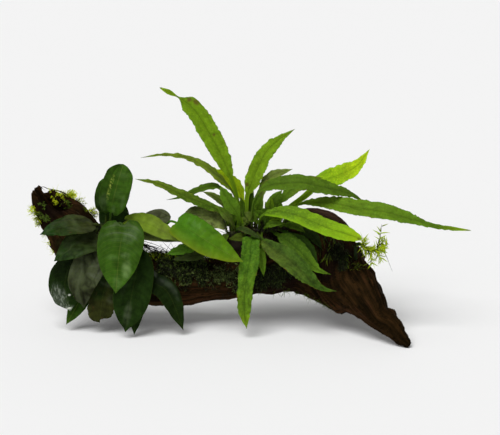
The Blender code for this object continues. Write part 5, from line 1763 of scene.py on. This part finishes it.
def crest_moss():
    """Fine lime sprigs along the top of the log, and dark ones and a few threads that hang under it."""
    moss = Moss(40)
    rng = moss.rng
    shapes = [sprig_shape(rng, 0.35, 8, 0.14) for _ in range(6)]
    for count, place, sizes, newness in CREST_SPRIGS:
        for _ in range(count):
            foot, normal = on_wood(drawn(rng, *place) * MM)
            way = (normal + stray(rng, 0.8)).normalized()
            moss.plant(shapes, foot, way, pick(rng, sizes) * MM, pick(rng, newness))
    # Two thicker threads, and then fine ones, that hang under the log.
    for shift in (-1.5, 1.5):
        foot, _ = on_wood(Vector((34, -8, 26)) * MM)
        end = foot + Vector((shift - 2, -2, -6.5)) * MM
        moss.strand(bowed(foot, end, Vector(), 6), 0.3 * MM, 0.1)
    for _ in range(16):
        foot, _ = on_wood(drawn(rng, (20, 62), (-14, 2), 26) * MM)
        end = foot + drawn(rng, (-4, 4), (-3, 1), (-7, -2)) * MM
        moss.strand(bowed(foot, end, drawn(rng, (-3, 3), 0, 0) * MM), 0.13 * MM, 0.3)
    moss.piece("moss_threads", moss_finish("moss_threads", MOSS_SHADE, MOSS_NEW))


def front_moss():
    """Loose dark sprigs on the trunk's front, thickest beside the hanging frond."""
    moss = Moss(44)
    rng = moss.rng
    shapes = [sprig_shape(rng, 0.5, 8, 0.18) for _ in range(5)] + [needle_shape(rng, 0.09) for _ in range(6)]
    for _ in range(1150):
        x = rng.choice((rng.uniform(-104, -12), rng.uniform(-62, -12), rng.gauss(-26, 9)))
        goal = Vector((x, -18, rng.gauss(57, 8))) * MM
        foot, normal = on_wood(goal)
        if noise.noise(goal * 90) + 0.5 * noise.noise(goal * 260) < rng.uniform(-0.15, 0.25):
            continue
        way = normal + stray(rng, 0.9) - Vector((0, 0, 0.5))
        moss.plant(shapes, foot, way.normalized(), rng.uniform(2.5, 5.5) * MM, rng.random() ** 1.4)
    moss.piece("moss_on_front", moss_finish("moss_on_front", MOSS_BLACK, MOSS_FERNY))


moss_mats()
front_moss()
horn_moss()
tuft_right()
crest_moss()


# ================================================================ studio
# A pale floor that runs out to a pale sky, one broad soft light from the upper left, and a long lens.

AIM = Vector((0, 0, 0.107))
CAMERA_DISTANCE = 1.781
CAMERA_HEIGHT = math.radians(13)
CAMERA_LENS = 135
CAMERA_SENSOR = 36
STUDIO_WHITE = (0.89, 0.89, 0.89)
CEILING = (0.22, 0.22, 0.22)
SKY_FADE = (0.10, 0.55)  # how high the sky begins and ends to dim, from 0 at the horizon to 1 overhead
FLOOR_RADIUS = 12
FLOOR_GAP = 0.1 * MM
SUN_FROM = Vector((-0.33, -0.60, 1.0))
SUN_STRENGTH = 2.77
SUN_WIDTH = math.radians(38)


def sky():
    """Bright at the horizon, as a studio's walls are, and dimmer overhead."""
    world = bpy.data.worlds.new("sky")
    world.use_nodes = True
    nodes = Nodes(world.node_tree)
    way = nodes.node("ShaderNodeTexCoord", output="Generated")
    height = nodes.node("ShaderNodeSeparateXYZ", sockets={0: way}, output="Z")
    colour = nodes.blend(height.rise(*SKY_FADE), STUDIO_WHITE, CEILING)
    nodes.put(world.node_tree.nodes["Background"].inputs["Color"], colour)
    return world


def studio():
    """The floor, the sky and the one soft light."""
    scene = bpy.context.scene
    scene.view_settings.view_transform = "Standard"
    bpy.ops.mesh.primitive_circle_add(vertices=96, radius=FLOOR_RADIUS, fill_type="NGON")
    floor = bpy.context.object
    floor.name = "floor"
    floor.location.z = -FLOOR_GAP
    paint = Finish("floor", Base_Color=(*STUDIO_WHITE, 1), Roughness=0.9, Specular_IOR_Level=0.1)
    floor.data.materials.append(paint.material)
    scene.world = sky()
    sun = bpy.data.lights.new("sun", "SUN")
    sun.energy = SUN_STRENGTH
    sun.angle = SUN_WIDTH
    lamp = bpy.data.objects.new("sun", sun)
    lamp.rotation_mode = "QUATERNION"
    lamp.rotation_quaternion = (-SUN_FROM).to_track_quat("-Z", "Y")
    scene.collection.objects.link(lamp)


def camera():
    """A long lens that looks a little down on the part."""
    lens = bpy.data.cameras.new("camera")
    lens.lens = CAMERA_LENS
    lens.sensor_width = CAMERA_SENSOR
    view = bpy.data.objects.new("camera", lens)
    back = Vector((0, -math.cos(CAMERA_HEIGHT), math.sin(CAMERA_HEIGHT)))
    view.location = AIM + back * CAMERA_DISTANCE
    view.rotation_mode = "QUATERNION"
    view.rotation_quaternion = (-back).to_track_quat("-Z", "Y")
    bpy.context.scene.collection.objects.link(view)
    bpy.context.scene.camera = view


studio()
camera()
